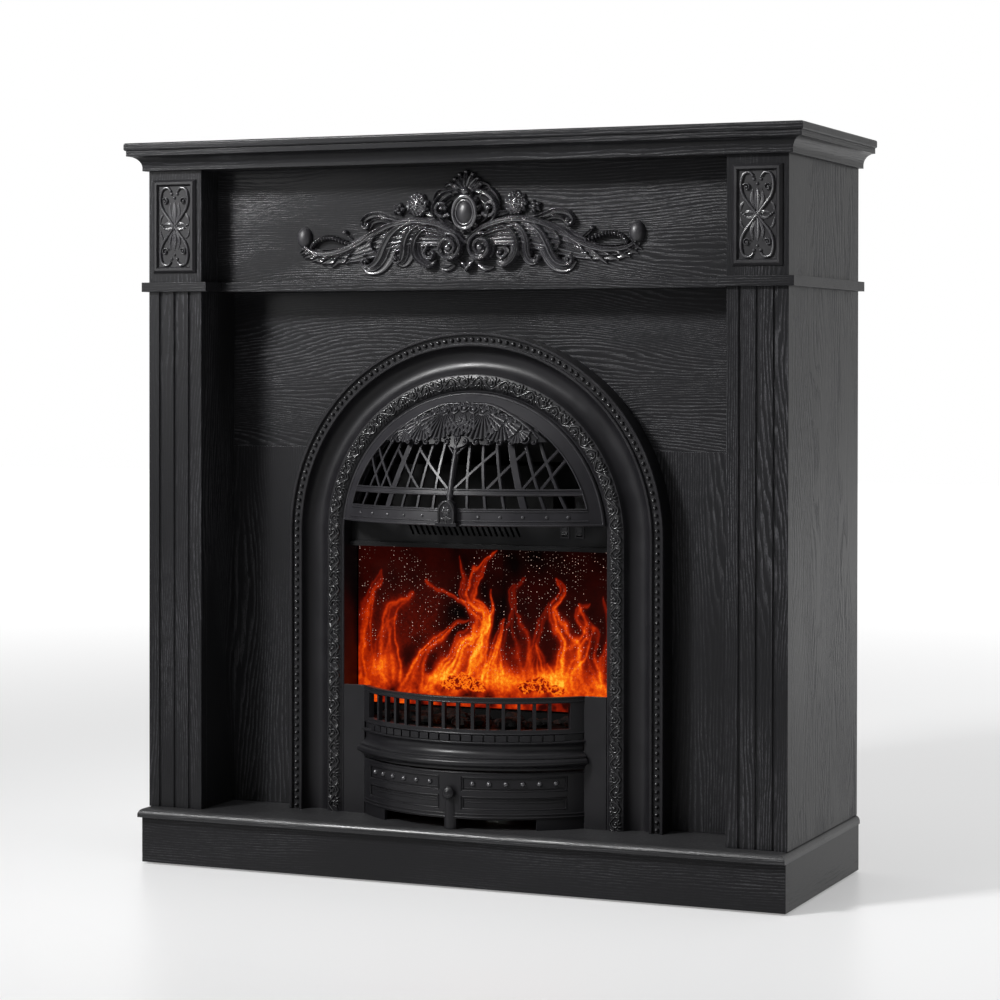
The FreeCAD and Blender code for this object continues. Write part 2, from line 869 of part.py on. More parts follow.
def control_fascia():
    edge = opening - fascia_side_gap
    y1 = fascia_y + fascia_thick
    plate = block(-edge, edge, fascia_y, y1, fascia_low, spring_z + fascia_top)
    ledge = block(-edge, edge, fascia_y - ledge_proud, screen_y, fascia_low, fascia_low + ledge_height)
    strip = fused([plate, ledge])
    z0 = spring_z + slot_low
    z1 = spring_z + slot_high
    for i in range(slot_count):
        x = slot_centre + (i - (slot_count - 1) / 2) * slot_pitch
        corners = [
            V(x + slot_lean / 2, fascia_y, z0),
            V(x + slot_lean / 2 + slot_width, fascia_y, z0),
            V(x - slot_lean / 2 + slot_width, fascia_y, z1),
            V(x - slot_lean / 2, fascia_y, z1),
        ]
        strip = strip.cut(loop(corners).extrude(V(0, fascia_thick, 0)))
    w = bezel_width / 2 - bezel_thick + fit
    h = bezel_height / 2 - bezel_thick + fit
    z = spring_z + switch_drop
    for x in switch_places():
        strip = strip.cut(block(x - w, x + w, fascia_y, y1, z - h, z + h))
    return strip


pivot_y = fascia_y + pivot_depth


# Switch body: a bezel flange on the strip and a pocket for the rocker behind it.
def switch_bodies():
    bodies = []
    z = spring_z + switch_drop
    w = bezel_width / 2
    h = bezel_height / 2
    for x in switch_places():
        flange_plate = block(x - w, x + w, fascia_y - bezel_thick, fascia_y, z - h, z + h)
        case = block(x - w + bezel_thick, x + w - bezel_thick, fascia_y, fascia_y + switch_depth,
                     z - h + bezel_thick, z + h - bezel_thick)
        pocket = block(x - w + bezel_wall, x + w - bezel_wall, fascia_y - bezel_thick,
                       fascia_y + switch_depth - bezel_wall, z - h + bezel_wall, z + h - bezel_wall)
        pin_hole = cylinder_x(pin_radius + pin_fit, x - w + bezel_thick, x + w - bezel_thick, pivot_y, z)
        bodies.append(fused([flange_plate, case]).cut(pocket).cut(pin_hole))
    return Part.makeCompound(bodies)


# Rocker with two slanting faces, shown tipped to its off side, on a pin along X.
def rocker(x):
    z = spring_z + switch_drop
    w = bezel_width / 2 - bezel_wall - rocker_gap
    h = bezel_height / 2 - bezel_wall - rocker_end_gap
    nose = fascia_y - bezel_thick
    points = [
        V(x - w, nose - rocker_rise, z - h),
        V(x - w, nose, z),
        V(x - w, nose - rocker_rise, z + h),
        V(x - w, pivot_y + 2 * pin_radius, z + 0.4 * h),
        V(x - w, pivot_y + 2 * pin_radius, z - 0.4 * h),
    ]
    body = loop(points).extrude(V(2 * w, 0, 0))
    reach = bezel_width / 2 - bezel_thick
    pin = cylinder_x(pin_radius, x - reach, x + reach, pivot_y, z)
    whole = fused([body, pin])
    whole.rotate(V(x, pivot_y, z), V(1, 0, 0), -rocker_tilt)
    return whole


screen_foot = grate_z - screen_drop


def flame_screen():
    edge = opening - fascia_side_gap
    return block(-edge, edge, screen_y, screen_y + screen_thick, screen_foot, fascia_low)


shell_half = panel_opening + shell_margin
shell_top = spring_z + panel_opening + shell_headroom
shell_back = panel_back + shell_depth


# Plate behind the screen, held in the casing.
def screen_frame():
    edge = shell_half - sheet - fit
    y0 = screen_y + screen_thick
    y1 = y0 + frame_thick
    w = opening - frame_border
    plate = block(-edge, edge, y0, y1, screen_foot - frame_border, fascia_low)
    return plate.cut(block(-w, w, y0, y1, screen_foot + frame_border, fascia_low - frame_border))


spindle_y = panel_back + spindle_back
spindle_z = hearth_z + spindle_lift
spindle_end = shell_half - sheet - spindle_motor_length - fit
tab_x = -shell_half + sheet + tab_width / 2


# Folded casing: a square tube with a front flange and a bearing tab for the spindle.
def firebox_shell():
    wide = shell_half - sheet
    tube = block(-shell_half, shell_half, panel_back, shell_back, hearth_z, shell_top)
    reach = shell_half + flange
    rim = block(-reach, reach, panel_back, panel_back + sheet, hearth_z, shell_top + flange)
    hollow = block(-wide, wide, panel_back, shell_back, hearth_z + sheet, shell_top - sheet)
    tab = block(tab_x - sheet, tab_x + sheet, spindle_y - tab_width / 2, spindle_y + tab_width / 2,
                hearth_z + sheet, spindle_z + tab_width / 2)
    tab = tab.cut(cylinder_x(shaft_radius + shaft_fit, tab_x - sheet, tab_x + sheet, spindle_y, spindle_z))
    return fused([tube, rim]).cut(hollow).fuse(tab).removeSplitter()


gland_z = hearth_z + gland_lift


# Rear cover with rows of vent slots and a hole for the supply gland.
def rear_cover():
    plate = block(-shell_half, shell_half, shell_back, shell_back + sheet, hearth_z, shell_top)
    vent_long = shell_half / 2
    vent_wide = 3 * sheet
    for hand in (1, -1):
        for i in range(vent_row_count):
            z = spring_z + (i + 2) * 3 * vent_wide / 2
            x0, x1 = sorted((hand * vent_long * 0.3, hand * vent_long * 1.3))
            plate = plate.cut(block(x0, x1, shell_back, shell_back + sheet, z, z + vent_wide / 2))
    return plate.cut(cylinder_y(gland_radius + shaft_fit, shell_back, shell_back + sheet, gland_x, gland_z))


housing_y = fascia_y + fascia_thick
housing_z = fascia_low + ledge_height + sheet
wheel_y = housing_y + wheel_back
wheel_z = housing_z + wheel_lift


# Heater housing between the strip and the rear cover, open at the slots.
def heater_housing():
    case = block(housing_left, housing_right, housing_y, shell_back, housing_z, housing_z + housing_height)
    room = block(housing_left + sheet, housing_right - sheet, housing_y + sheet, shell_back - sheet,
                 housing_z + sheet, housing_z + housing_height - sheet)
    reach = slot_count * slot_pitch / 2
    mouth = block(slot_centre - reach, slot_centre + reach, housing_y, housing_y + sheet,
                  housing_z + sheet, spring_z + slot_high)
    bore = cylinder_x(shaft_radius + shaft_fit, housing_left, housing_right, wheel_y, wheel_z)
    case = case.cut(room).cut(mouth).cut(bore)
    edge = 4 * sheet
    gap = (housing_right - housing_left - 2 * edge) / intake_slot_count
    top = housing_z + housing_height
    for i in range(intake_slot_count):
        x0 = housing_left + edge + i * gap
        case = case.cut(block(x0, x0 + gap / 2, wheel_y, shell_back - edge, top - sheet, top))
    return case


# Finned heating element on the housing floor, right behind the slots.
def ptc_element():
    reach = slot_count * slot_pitch / 2
    y0 = housing_y + 2 * sheet
    z0 = housing_z + sheet
    z1 = spring_z + slot_high
    bar = block(slot_centre - reach, slot_centre + reach, y0, y0 + ptc_depth, z0, z1)
    pitch = 2 * reach / ptc_fin_count
    for i in range(ptc_fin_count):
        x0 = slot_centre - reach + (i + 0.25) * pitch
        bar = bar.cut(block(x0, x0 + pitch / 2, y0, y0 + ptc_depth, z0 + 2 * sheet, z1 - 2 * sheet))
    return bar


# Cross-flow wheel: three discs, a ring of blades and a through shaft.
def blower_wheel():
    x0 = housing_left + sheet + wheel_end_gap
    x1 = housing_right - sheet - wheel_end_gap
    pieces = [cylinder_x(shaft_radius, housing_left, housing_right + motor_length / 2, wheel_y, wheel_z)]
    for x in (x0, (x0 + x1) / 2, x1):
        pieces.append(cylinder_x(wheel_radius, x - sheet / 2, x + sheet / 2, wheel_y, wheel_z))
    for i in range(wheel_blade_count):
        blade = block(x0, x1, wheel_y - sheet / 4, wheel_y + sheet / 4, wheel_z + wheel_radius - wheel_ring,
                      wheel_z + wheel_radius - sheet / 4)
        blade.rotate(V(0, wheel_y, wheel_z + wheel_radius - wheel_ring / 2), V(1, 0, 0), blade_lean)
        blade.rotate(V(0, wheel_y, wheel_z), V(1, 0, 0), 360 * i / wheel_blade_count)
        pieces.append(blade)
    return fused(pieces)


# Square laminated motor on the end of the housing, its windings below the shaft.
def blower_motor():
    x1 = housing_right + motor_length
    plate_x = housing_right + sheet
    y0 = wheel_y - motor_half
    foot = wheel_z - motor_drop
    core = block(housing_right, x1, y0, wheel_y + motor_half, foot, wheel_z + motor_half)
    waist = block(plate_x, x1, y0, y0 + motor_half / 2, foot + motor_drop / 2, wheel_z)
    bore = cylinder_x(shaft_radius + shaft_fit, housing_right, x1, wheel_y, wheel_z)
    return core.cut(waist).cut(bore)


# Round limiter with two terminal tags on top of the housing.
def thermal_cutout():
    top = housing_z + housing_height
    x = housing_left / 2
    y = housing_y + ptc_depth
    cap = Part.makeCylinder(cutout_radius, cutout_radius, V(x, y, top))
    tags = block(x - tag_reach, x + tag_reach, y - tag_half, y + tag_half, top, top + sheet)
    return fused([cap, tags])


# Rotating rod with bright vanes that throws the flame light.
def flame_spindle():
    x0 = tab_x - sheet
    reach = spindle_end - vane_reach
    pieces = [cylinder_x(shaft_radius, x0, spindle_end + spindle_motor_length / 2, spindle_y, spindle_z)]
    step = (reach - tab_x - 3 * vane_reach) / spindle_vane_count
    for i in range(spindle_vane_count):
        for k in range(3):
            x = tab_x + 2 * vane_reach + i * step
            vane = block(x, x + 0.8 * step, spindle_y - sheet / 4, spindle_y + sheet / 4, spindle_z,
                         spindle_z + vane_reach)
            vane.rotate(V(0, spindle_y, spindle_z), V(1, 0, 0), 120 * k + 40 * i)
            pieces.append(vane)
    return fused(pieces)


def spindle_motor():
    x1 = shell_half - sheet
    can = cylinder_x(spindle_motor_radius, spindle_end, x1, spindle_y, spindle_z)
    long = 1.6 * spindle_motor_radius
    high = 0.3 * spindle_motor_radius
    ears = block(x1 - sheet, x1, spindle_y - long, spindle_y + long, spindle_z - high, spindle_z + high)
    bore = cylinder_x(shaft_radius + shaft_fit, spindle_end, x1 - sheet, spindle_y, spindle_z)
    return fused([can, ears]).cut(bore)


def led_board():
    reach = opening - 2 * frame_border
    y0 = panel_back + frame_border
    z0 = hearth_z + sheet
    strip = block(-reach, reach, y0, y0 + frame_border, z0, z0 + sheet)
    lamps = []
    for i in range(led_count):
        x = (i - (led_count - 1) / 2) * 1.9 * reach / led_count
        lamp_y = y0 + led_size
        lamps.append(block(x - led_size / 2, x + led_size / 2, lamp_y, lamp_y + led_size,
                           z0 + sheet, z0 + 2 * sheet))
    return fused([strip] + lamps)


# Control board on stand-offs inside the right wall of the casing.
def control_board():
    wall = shell_half - sheet
    card = wall - 3 * sheet
    y0 = panel_back + 0.45 * shell_depth
    y1 = shell_back - 4 * sheet
    z0 = hearth_z + 0.4 * pilaster_height
    z1 = z0 + 1.4 * (y1 - y0)
    pieces = [block(card - sheet, card, y0, y1, z0, z1)]
    for y in (y0 + card_margin, y1 - card_margin - sheet):
        for z in (z0 + card_margin, z1 - card_margin - sheet):
            pieces.append(block(card, wall, y, y + 2 * sheet, z, z + 2 * sheet))
    relay_y = y0 + 1.5 * card_margin
    face = card - sheet
    for i in range(relay_count):
        z = z0 + 2 * card_margin + i * relay_pitch
        pieces.append(block(face - 0.75 * relay_size, face, relay_y, relay_y + relay_size, z, z + relay_size))
    return fused(pieces)


def hexagon(x, y, z, radius, depth):
    corners = []
    for i in range(6):
        turn = math.radians(60 * i)
        corners.append(V(x + radius * math.cos(turn), y, z + radius * math.sin(turn)))
    return loop(corners).extrude(V(0, depth, 0))


# Gland with a hexagon nut, empty.
def cable_gland():
    y0 = shell_back - 3 * sheet
    y1 = shell_back + sheet
    barrel = cylinder_y(gland_radius, y0, y1 + 4 * sheet, gland_x, gland_z)
    nut = hexagon(gland_x, y1, gland_z, 1.5 * gland_radius, 2 * sheet)
    return fused([barrel, nut]).cut(cylinder_y(0.5 * gland_radius, y0, y1 + 4 * sheet, gland_x, gland_z))


# Hexagon heads: casing flange to the panels, rear cover to the casing.
def insert_screws():
    screws = []
    flange_x = shell_half + flange / 2
    cover_x = shell_half - 2.5 * screw_radius
    for i in range(4):
        z = hearth_z + flange + i * (shell_top - hearth_z - flange) / 3
        for hand in (1, -1):
            low = z - flange / 4
            screws.append(hexagon(hand * flange_x, panel_back + sheet, z, screw_radius, screw_head))
            screws.append(hexagon(hand * cover_x, shell_back + sheet, low, screw_radius, screw_head))
    return Part.makeCompound(screws)


os.makedirs("parts", exist_ok=True)

save("mantel_top", mantel_top())
save("cornice_front", cornice_front())
save_pair("cornice", cornice_side())
save("sub_top", sub_top())
save("frieze_board", frieze_board())
save_pair("frieze_block", frieze_block())
save_pair("rosette", rosette())
save("frieze_ornament", frieze_ornament())
save("band_centre", band_centre())
save_pair("band_cap", band_cap())
save_pair("pilaster", pilaster())
save_pair("cheek", cheek())
save_pair("side", side())
upper_panel, lower_panel = back_panels()
save("upper_back_panel", upper_panel)
save_pair("lower_back", lower_panel)
save("hearth_board", hearth_board())
save("plinth_front", plinth_front())
save_pair("plinth", plinth_side())
save("carcass_battens", carcass_battens())
save("floor_glides", floor_glides())

save("arch_frame", arch_frame())
save("hood", hood())
save("hood_fan", hood_fan())
save("hood_handle", hood_handle())
save_pair("grate_plate", grate_plate())
save("grate_front", grate_front())
save("grate_moulding", grate_moulding())
save("ashpan_cover", ashpan_cover())
save("ashpan_knob", ashpan_knob())
save("ember_tray", ember_tray())
save("control_fascia", control_fascia())
save("switch_bodies", switch_bodies())
for switch_name, switch_place in zip(("heat", "flame"), switch_places()):
    save("rocker_" + switch_name, rocker(switch_place))
save("screen_frame", screen_frame())
save("flame_screen", flame_screen())

save("firebox_shell", firebox_shell())
save("rear_cover", rear_cover())
save("heater_housing", heater_housing())
save("ptc_element", ptc_element())
save("blower_wheel", blower_wheel())
save("blower_motor", blower_motor())
save("thermal_cutout", thermal_cutout())
save("flame_spindle", flame_spindle())
save("spindle_motor", spindle_motor())
save("led_board", led_board())
save("control_board", control_board())
save("cable_gland", cable_gland())
save("insert_screws", insert_screws())
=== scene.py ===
import bmesh
import bpy
import json
import numpy
import random
from math import asin, atan2, cos, degrees, exp, hypot, pi, radians, sin, sqrt
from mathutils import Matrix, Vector, noise as cloud


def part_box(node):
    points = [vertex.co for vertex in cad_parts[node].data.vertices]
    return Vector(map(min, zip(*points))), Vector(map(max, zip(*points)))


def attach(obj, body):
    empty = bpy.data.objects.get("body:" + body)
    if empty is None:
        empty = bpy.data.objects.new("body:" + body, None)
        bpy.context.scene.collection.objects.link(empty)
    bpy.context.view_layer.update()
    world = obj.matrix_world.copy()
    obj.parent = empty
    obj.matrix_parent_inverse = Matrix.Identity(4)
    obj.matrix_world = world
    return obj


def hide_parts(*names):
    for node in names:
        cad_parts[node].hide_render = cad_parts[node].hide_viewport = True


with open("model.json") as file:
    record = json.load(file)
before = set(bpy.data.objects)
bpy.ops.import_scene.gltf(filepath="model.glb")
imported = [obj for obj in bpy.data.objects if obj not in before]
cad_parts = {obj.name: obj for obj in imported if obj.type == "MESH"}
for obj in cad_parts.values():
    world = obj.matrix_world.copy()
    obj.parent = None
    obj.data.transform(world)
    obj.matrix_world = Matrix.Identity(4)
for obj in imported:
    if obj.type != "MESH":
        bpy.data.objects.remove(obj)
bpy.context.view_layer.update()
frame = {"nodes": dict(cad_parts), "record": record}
nodes = frame["nodes"]
print("frame loaded,", len(nodes), "nodes")

# places read from the frame, in metres
archLow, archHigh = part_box("arch_frame")
archHalf = archHigh.x
archFront = archLow.y
springZ = archHigh.z - archHalf
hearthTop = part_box("hearth_board")[1].z
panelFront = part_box("upper_back_panel")[0].y
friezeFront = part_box("frieze_board")[0].y
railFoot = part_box("hood")[0].z
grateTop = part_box("grate_front")[1].z
screenLow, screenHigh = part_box("flame_screen")
mm = 0.001


# mesh helpers

def newShape():
    return {"points": [], "faces": []}


def addRows(shape, rows, loopAcross=False, loopAlong=False):
    start = len(shape["points"])
    across = len(rows[0])
    for row in rows:
        shape["points"].extend(row)
    for i in range(len(rows) if loopAlong else len(rows) - 1):
        a, b = start + i * across, start + (i + 1) % len(rows) * across
        for j in range(across if loopAcross else across - 1):
            m = (j + 1) % across
            shape["faces"].append((a + j, a + m, b + m, b + j))


def addCap(shape, row):
    start = len(shape["points"])
    shape["points"].extend(row)
    shape["faces"].append(tuple(range(start, start + len(row))))


def closeRows(shape, rows):  # rows joined round, with both ends shut
    addRows(shape, rows, loopAcross=True)
    addCap(shape, rows[0])
    addCap(shape, rows[-1])


def evenTurns(count):  # cosine and sine of even steps round a circle
    return [(cos(2 * pi * k / count), sin(2 * pi * k / count)) for k in range(count)]


def smoothLine(points, steps):  # curve through the points, in any number of dimensions
    line = [Vector(p) for p in points]
    ends = [2 * line[0] - line[1]] + line + [2 * line[-1] - line[-2]]
    spans = len(line) - 1
    curve = []
    for i in range(steps + 1):
        t = i / steps * spans
        k = min(int(t), spans - 1)
        f = t - k
        a, b, c, d = ends[k:k + 4]
        curve.append(0.5 * (2 * b + (c - a) * f + (2 * a - 5 * b + 4 * c - d) * f * f
                            + (3 * b - a - 3 * c + d) * f ** 3))
    return curve


def spiral(x, z, radius, start, turns, inner=0.18, ease=0.8):  # start in degrees, turns signed
    steps = max(8, int(abs(turns) * 10))
    line = []
    for i in range(steps + 1):
        t = i / steps
        r = radius * (1 - (1 - inner) * t ** ease)
        angle = radians(start) + 2 * pi * turns * t
        line.append((x + r * cos(angle), z + r * sin(angle)))
    return line


leaf = {"steps": 14, "toothFoot": 0.74, "toothSwing": 0.34, "toothCurve": 0.6, "endRise": 0.3, "vein": 0.3,
        "slopeFoot": 0.2, "slopeCurve": 1.4}  # shares of a leaf's width and rise


def leafHeight(v, lean):  # share of the rise across a leaf; lean moves the ridge towards one edge
    if not lean:
        return sqrt(max(0, 1 - v * v))
    if v > lean:
        return sqrt(max(0, 1 - ((v - lean) / (1 - lean)) ** 2))
    return leaf["slopeFoot"] + (1 - leaf["slopeFoot"]) * ((v + 1) / (1 + lean)) ** leaf["slopeCurve"]


# a skin turns two coordinates and a height into a place on a surface
def addLeaf(shape, skin, spine, width, rise, teeth=0, ribs=0, root=0.4, tip=0.1, groove=0.3, across=9, lean=0.0):
    steps = max(leaf["steps"], 5 * len(spine), 6 * teeth)
    across = max(across, 6 * ribs + 3)
    line = smoothLine(spine, steps)
    rows = []
    for i, p in enumerate(line):
        u = i / steps
        ahead = line[min(i + 1, steps)] - line[max(i - 1, 0)]
        ahead.normalize()
        side = Vector((-ahead.y, ahead.x))
        belly = root * (1 - u) + tip * u + sin(pi * u) * (1 - (root + tip) / 2)
        half = width / 2 * belly
        if teeth:
            half *= leaf["toothFoot"] + leaf["toothSwing"] * (1 - (teeth * u) % 1) ** leaf["toothCurve"]
        top = rise * (leaf["endRise"] + (1 - leaf["endRise"]) * belly)
        row = []
        for j in range(across):
            v = 2 * j / (across - 1) - 1
            sunk = 0.5 + 0.5 * cos(pi * ribs * (v + 1)) if ribs else exp(-(v / leaf["vein"]) ** 2)
            q = p + side * (v * half)
            row.append(skin(q.x, q.y, top * leafHeight(v, lean) * (1 - groove * sunk) if abs(v) < 1 else 0))
        rows.append(row)
    closeRows(shape, rows)


def addStrand(shape, skin, line, width, rise, root=0.9, tip=0.8, across=7):  # leaf without a groove
    addLeaf(shape, skin, line, width, rise, root=root, tip=tip, groove=0.0, across=across)


def addBall(shape, skin, x, z, wide, high, rise, base=0.0, sides=12, rings=4):
    circle = evenTurns(sides)
    rows = [[skin(x + wide * c, z + high * s, 0) for c, s in circle]]
    for k in range(rings + 1):
        lift = pi / 2 * k / rings
        out = cos(lift) if k < rings else 0.0
        rows.append([skin(x + wide * out * c, z + high * out * s, base + rise * sin(lift)) for c, s in circle])
    addRows(shape, rows, loopAcross=True)
    addCap(shape, rows[0])


def addStud(shape, skin, x, z, radius, rise, **more):  # round ball
    addBall(shape, skin, x, z, radius, radius, rise, **more)


def addTube(shape, line, radius, sides=8, closed=False):
    count = len(line)
    rows = []
    for i, p in enumerate(line):
        before = line[i - 1] if closed or i else line[i]
        after = line[(i + 1) % count] if closed or i < count - 1 else line[i]
        ahead = (after - before).normalized()
        side = ahead.cross(Vector((0, 1, 0))).normalized()
        out = side.cross(ahead)
        r = radius[i] if isinstance(radius, list) else radius
        rows.append([p + side * (r * c) + out * (r * s) for c, s in evenTurns(sides)])
    if closed:
        addRows(shape, rows, loopAcross=True, loopAlong=True)
    else:
        closeRows(shape, rows)


def newObject(name, data):
    thing = bpy.data.objects.new(name, data)
    bpy.context.scene.collection.objects.link(thing)
    return thing


def makePiece(name, shape, finish, sharp=40, weld=True):
    mesh = bpy.data.meshes.new(name)
    mesh.from_pydata([tuple(p) for p in shape["points"]], [], shape["faces"])
    if weld:
        work = bmesh.new()
        work.from_mesh(mesh)
        bmesh.ops.remove_doubles(work, verts=work.verts, dist=2e-6)
        bmesh.ops.dissolve_degenerate(work, dist=1e-6, edges=work.edges)
        bmesh.ops.recalc_face_normals(work, faces=work.faces)
        work.to_mesh(mesh)
        work.free()
    mesh.shade_smooth()
    mesh.set_sharp_from_angle(angle=radians(sharp))
    mesh.materials.append(finishes[finish])
    piece = newObject(name, mesh)
    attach(piece, "fireplace")
    return piece


# shader helpers

def put(tree, kind, **settings):
    node = tree.nodes.new("ShaderNode" + kind)
    for key, value in settings.items():
        if key[0].islower():
            setattr(node, key, value)
        else:
            node.inputs[key.replace("_", " ")].default_value = value
    return node


def isSocket(value):
    return isinstance(value, bpy.types.NodeSocket)


def feed(value, socket):
    if isSocket(value):
        socket.id_data.links.new(value, socket)
    else:
        socket.default_value = value


def calc(operation, a, b=0.0, c=0.0, clamp=False):
    node = put((a if isSocket(a) else b).id_data, "Math", operation=operation, use_clamp=clamp)
    for value, socket in zip((a, b, c), node.inputs):
        feed(value, socket)
    return node.outputs[0]


def spread(value, fromLow, fromHigh, toLow, toHigh):
    node = put(value.id_data, "MapRange", interpolation_type="SMOOTHSTEP")
    for each, socket in zip((value, fromLow, fromHigh, toLow, toHigh), node.inputs):
        feed(each, socket)
    return node.outputs[0]


def noise(vector, scale, detail=3.0, rough=0.5):
    node = put(vector.id_data, "TexNoise", Detail=detail, Roughness=rough)
    feed(vector, node.inputs["Vector"])
    feed(scale, node.inputs["Scale"])
    return node.outputs[0]


def ramp(value, stops):
    node = put(value.id_data, "ValToRGB")
    bar = node.color_ramp.elements
    while len(bar) < len(stops):
        bar.new(0.5)
    for step, (place, colour) in zip(bar, stops):
        step.position = place
        step.color = (*colour, 1.0)
    feed(value, node.inputs[0])
    return node.outputs[0]


def blendColour(share, a, b):
    node = put(share.id_data, "Mix", data_type="RGBA")
    feed(share, node.inputs[0])
    for colour, socket in ((a, node.inputs[6]), (b, node.inputs[7])):
        feed(colour if isSocket(colour) else (*colour, 1.0), socket)
    return node.outputs[2]


def startGroup(name, inputs, outputs):
    tree = bpy.data.node_groups.new(name, "ShaderNodeTree")
    for label, kind, value in inputs:
        socket = tree.interface.new_socket(name=label, in_out="INPUT", socket_type="NodeSocket" + kind)
        if value is not None:
            socket.default_value = value
    for label, kind in outputs:
        tree.interface.new_socket(name=label, in_out="OUTPUT", socket_type="NodeSocket" + kind)
    return tree, tree.nodes.new("NodeGroupInput").outputs, tree.nodes.new("NodeGroupOutput").inputs


def useGroup(tree, group, **values):
    node = tree.nodes.new("ShaderNodeGroup")
    node.node_tree = group
    for key, value in values.items():
        feed(value, node.inputs[key])
    return node.outputs


def startMaterial(name, **settings):
    material = bpy.data.materials.new(name)
    material.use_nodes = True
    tree = material.node_tree
    shader = tree.nodes["Principled BSDF"]
    for key, value in settings.items():
        shader.inputs[key.replace("_", " ")].default_value = value
    return material, tree, shader.inputs


def bump(height, strength, distance, normal=None):
    node = put(height.id_data, "Bump", Strength=strength, Distance=distance)
    feed(height, node.inputs["Height"])
    if normal is not None:
        feed(normal, node.inputs["Normal"])
    return node.outputs[0]


def objectPlace(tree):
    return put(tree, "TexCoord").outputs["Object"]


# shared effects

def makeOpenGrain():  # long growth lines with short open pores, running along the vector's X
    tree, given, out = startGroup(
        "openGrain",
        [("Vector", "Vector", None), ("Bands", "Float", 60.0), ("Warp", "Float", 6.0)],
        [("Grain", "Float"), ("Height", "Float"), ("Tone", "Float")])
    split = put(tree, "SeparateXYZ")
    feed(given["Vector"], split.inputs[0])
    along = split.outputs[0]
    cross = calc("ADD", split.outputs[1], split.outputs[2])

    def stretched(alongScale, crossScale):
        node = put(tree, "CombineXYZ")
        feed(calc("MULTIPLY", along, alongScale), node.inputs[0])
        feed(calc("MULTIPLY", cross, crossScale), node.inputs[1])
        return node.outputs[0]

    swell = noise(stretched(1.5, 7.0), 1.0, 1.0)
    ripple = noise(stretched(7.0, 40.0), 1.0, 3.0, 0.6)
    rings = calc("MULTIPLY", cross, given["Bands"])
    rings = calc("MULTIPLY_ADD", swell, given["Warp"], rings)
    rings = calc("MULTIPLY_ADD", ripple, 2.6, rings)
    saw = calc("FRACT", rings)
    line = calc("MULTIPLY", spread(saw, 0.35, 0.88, 0.0, 1.0), spread(saw, 1.0, 0.9, 0.0, 1.0))
    broken = spread(noise(stretched(60.0, 420.0), 1.0, 3.0, 0.7), 0.36, 0.56, 0.05, 1.0)
    patch = spread(noise(stretched(2.2, 9.0), 1.0, 2.0), 0.36, 0.60, 0.12, 1.0)
    pores = spread(noise(stretched(22.0, 620.0), 1.0, 2.0), 0.5, 0.7, 0.0, 1.0)
    fine = calc("MULTIPLY", pores, calc("MULTIPLY_ADD", line, 0.45, 0.16))
    grain = calc("MULTIPLY_ADD", calc("MULTIPLY", line, broken), 0.85, fine)
    grit = spread(noise(given["Vector"], 520.0, 2.0), 0.35, 0.6, 0.45, 1.0)
    grain = calc("MULTIPLY", calc("MULTIPLY", grain, grit), patch, clamp=True)
    feed(grain, out["Grain"])
    feed(calc("SUBTRACT", 1.0, grain), out["Height"])
    feed(swell, out["Tone"])
    return tree


def makeSoftEdge():  # rounded corners for the light, and a mask of the edges, where the colour is lightened as rubbed wear and as a painted edge highlight
    tree, given, out = startGroup("softEdge", [("Radius", "Float", 0.001)], [("Normal", "Vector"), ("Edge", "Float")])
    bevel = put(tree, "Bevel", samples=4)
    feed(given["Radius"], bevel.inputs["Radius"])
    dot = put(tree, "VectorMath", operation="DOT_PRODUCT")
    feed(bevel.outputs[0], dot.inputs[0])
    feed(put(tree, "NewGeometry").outputs["Normal"], dot.inputs[1])
    feed(bevel.outputs[0], out["Normal"])
    feed(spread(dot.outputs["Value"], 0.995, 0.86, 0.0, 1.0), out["Edge"])
    return tree


def makeCastSkin():  # fine sand-cast pitting with a slow mottle
    tree, given, out = startGroup(
        "castSkin", [("Vector", "Vector", None), ("Scale", "Float", 900.0)],
        [("Height", "Float"), ("Mottle", "Float"), ("Speck", "Float")])
    feed(noise(given["Vector"], given["Scale"], 4.0, 0.6), out["Height"])
    feed(noise(given["Vector"], 26.0, 3.0), out["Mottle"])
    feed(spread(noise(given["Vector"], 420.0, 2.0), 0.62, 0.74, 0.0, 1.0), out["Speck"])
    return tree


def makeRestDust():  # thin dust on faces that look up
    tree, given, out = startGroup("restDust", [("Vector", "Vector", None)], [("Dust", "Float")])
    split = put(tree, "SeparateXYZ")
    feed(put(tree, "NewGeometry").outputs["Normal"], split.inputs[0])
    upward = spread(split.outputs[2], 0.55, 1.0, 0.0, 1.0)
    drift = spread(noise(given["Vector"], 140.0, 5.0, 0.65), 0.25, 0.8, 0.6, 1.0)
    feed(calc("MULTIPLY", upward, drift), out["Dust"])
    return tree


openGrain = makeOpenGrain()
softEdge = makeSoftEdge()
castSkin = makeCastSkin()
restDust = makeRestDust()
print("shared effects ready")


# finishes

def scaled(colour, by):
    return tuple(by * c for c in colour)


def wornAndHighlightColour(colour, edge, dust, look):  # edges lightened, partly rubbed wear and partly painted edge highlight, and dust over a colour
    colour = blendColour(calc("MULTIPLY", edge["Edge"], look["edgeWearAndHighlightShare"]), colour, look["edge"])
    return blendColour(calc("MULTIPLY", dust["Dust"], look["dustShare"]), colour, look["dust"])


def mottled(skin, low, high):  # a value that follows the slow mottle
    return spread(skin["Mottle"], 0.3, 0.7, low, high)


# the edge colour lightens every edge: partly rubbed wear, partly painted edge highlight
wood = {"black": (0.0066, 0.0066, 0.0073), "grey": (0.075, 0.075, 0.081), "toneLow": 0.75, "toneHigh": 1.5,
        "edge": (0.030, 0.030, 0.033), "edgeWearAndHighlightShare": 0.5, "dust": (0.25, 0.25, 0.25), "dustShare": 0.025,
        "dustDull": 0.26, "bands": 215.0, "warp": 34.0, "roughLow": 0.29, "roughHigh": 0.50,
        "relief": 0.55, "depth": 0.0005, "round": 0.0014}
axisOrder = {"X": (0, 1, 2), "Y": (1, 0, 2), "Z": (2, 0, 1)}  # brings the grain's direction to the front


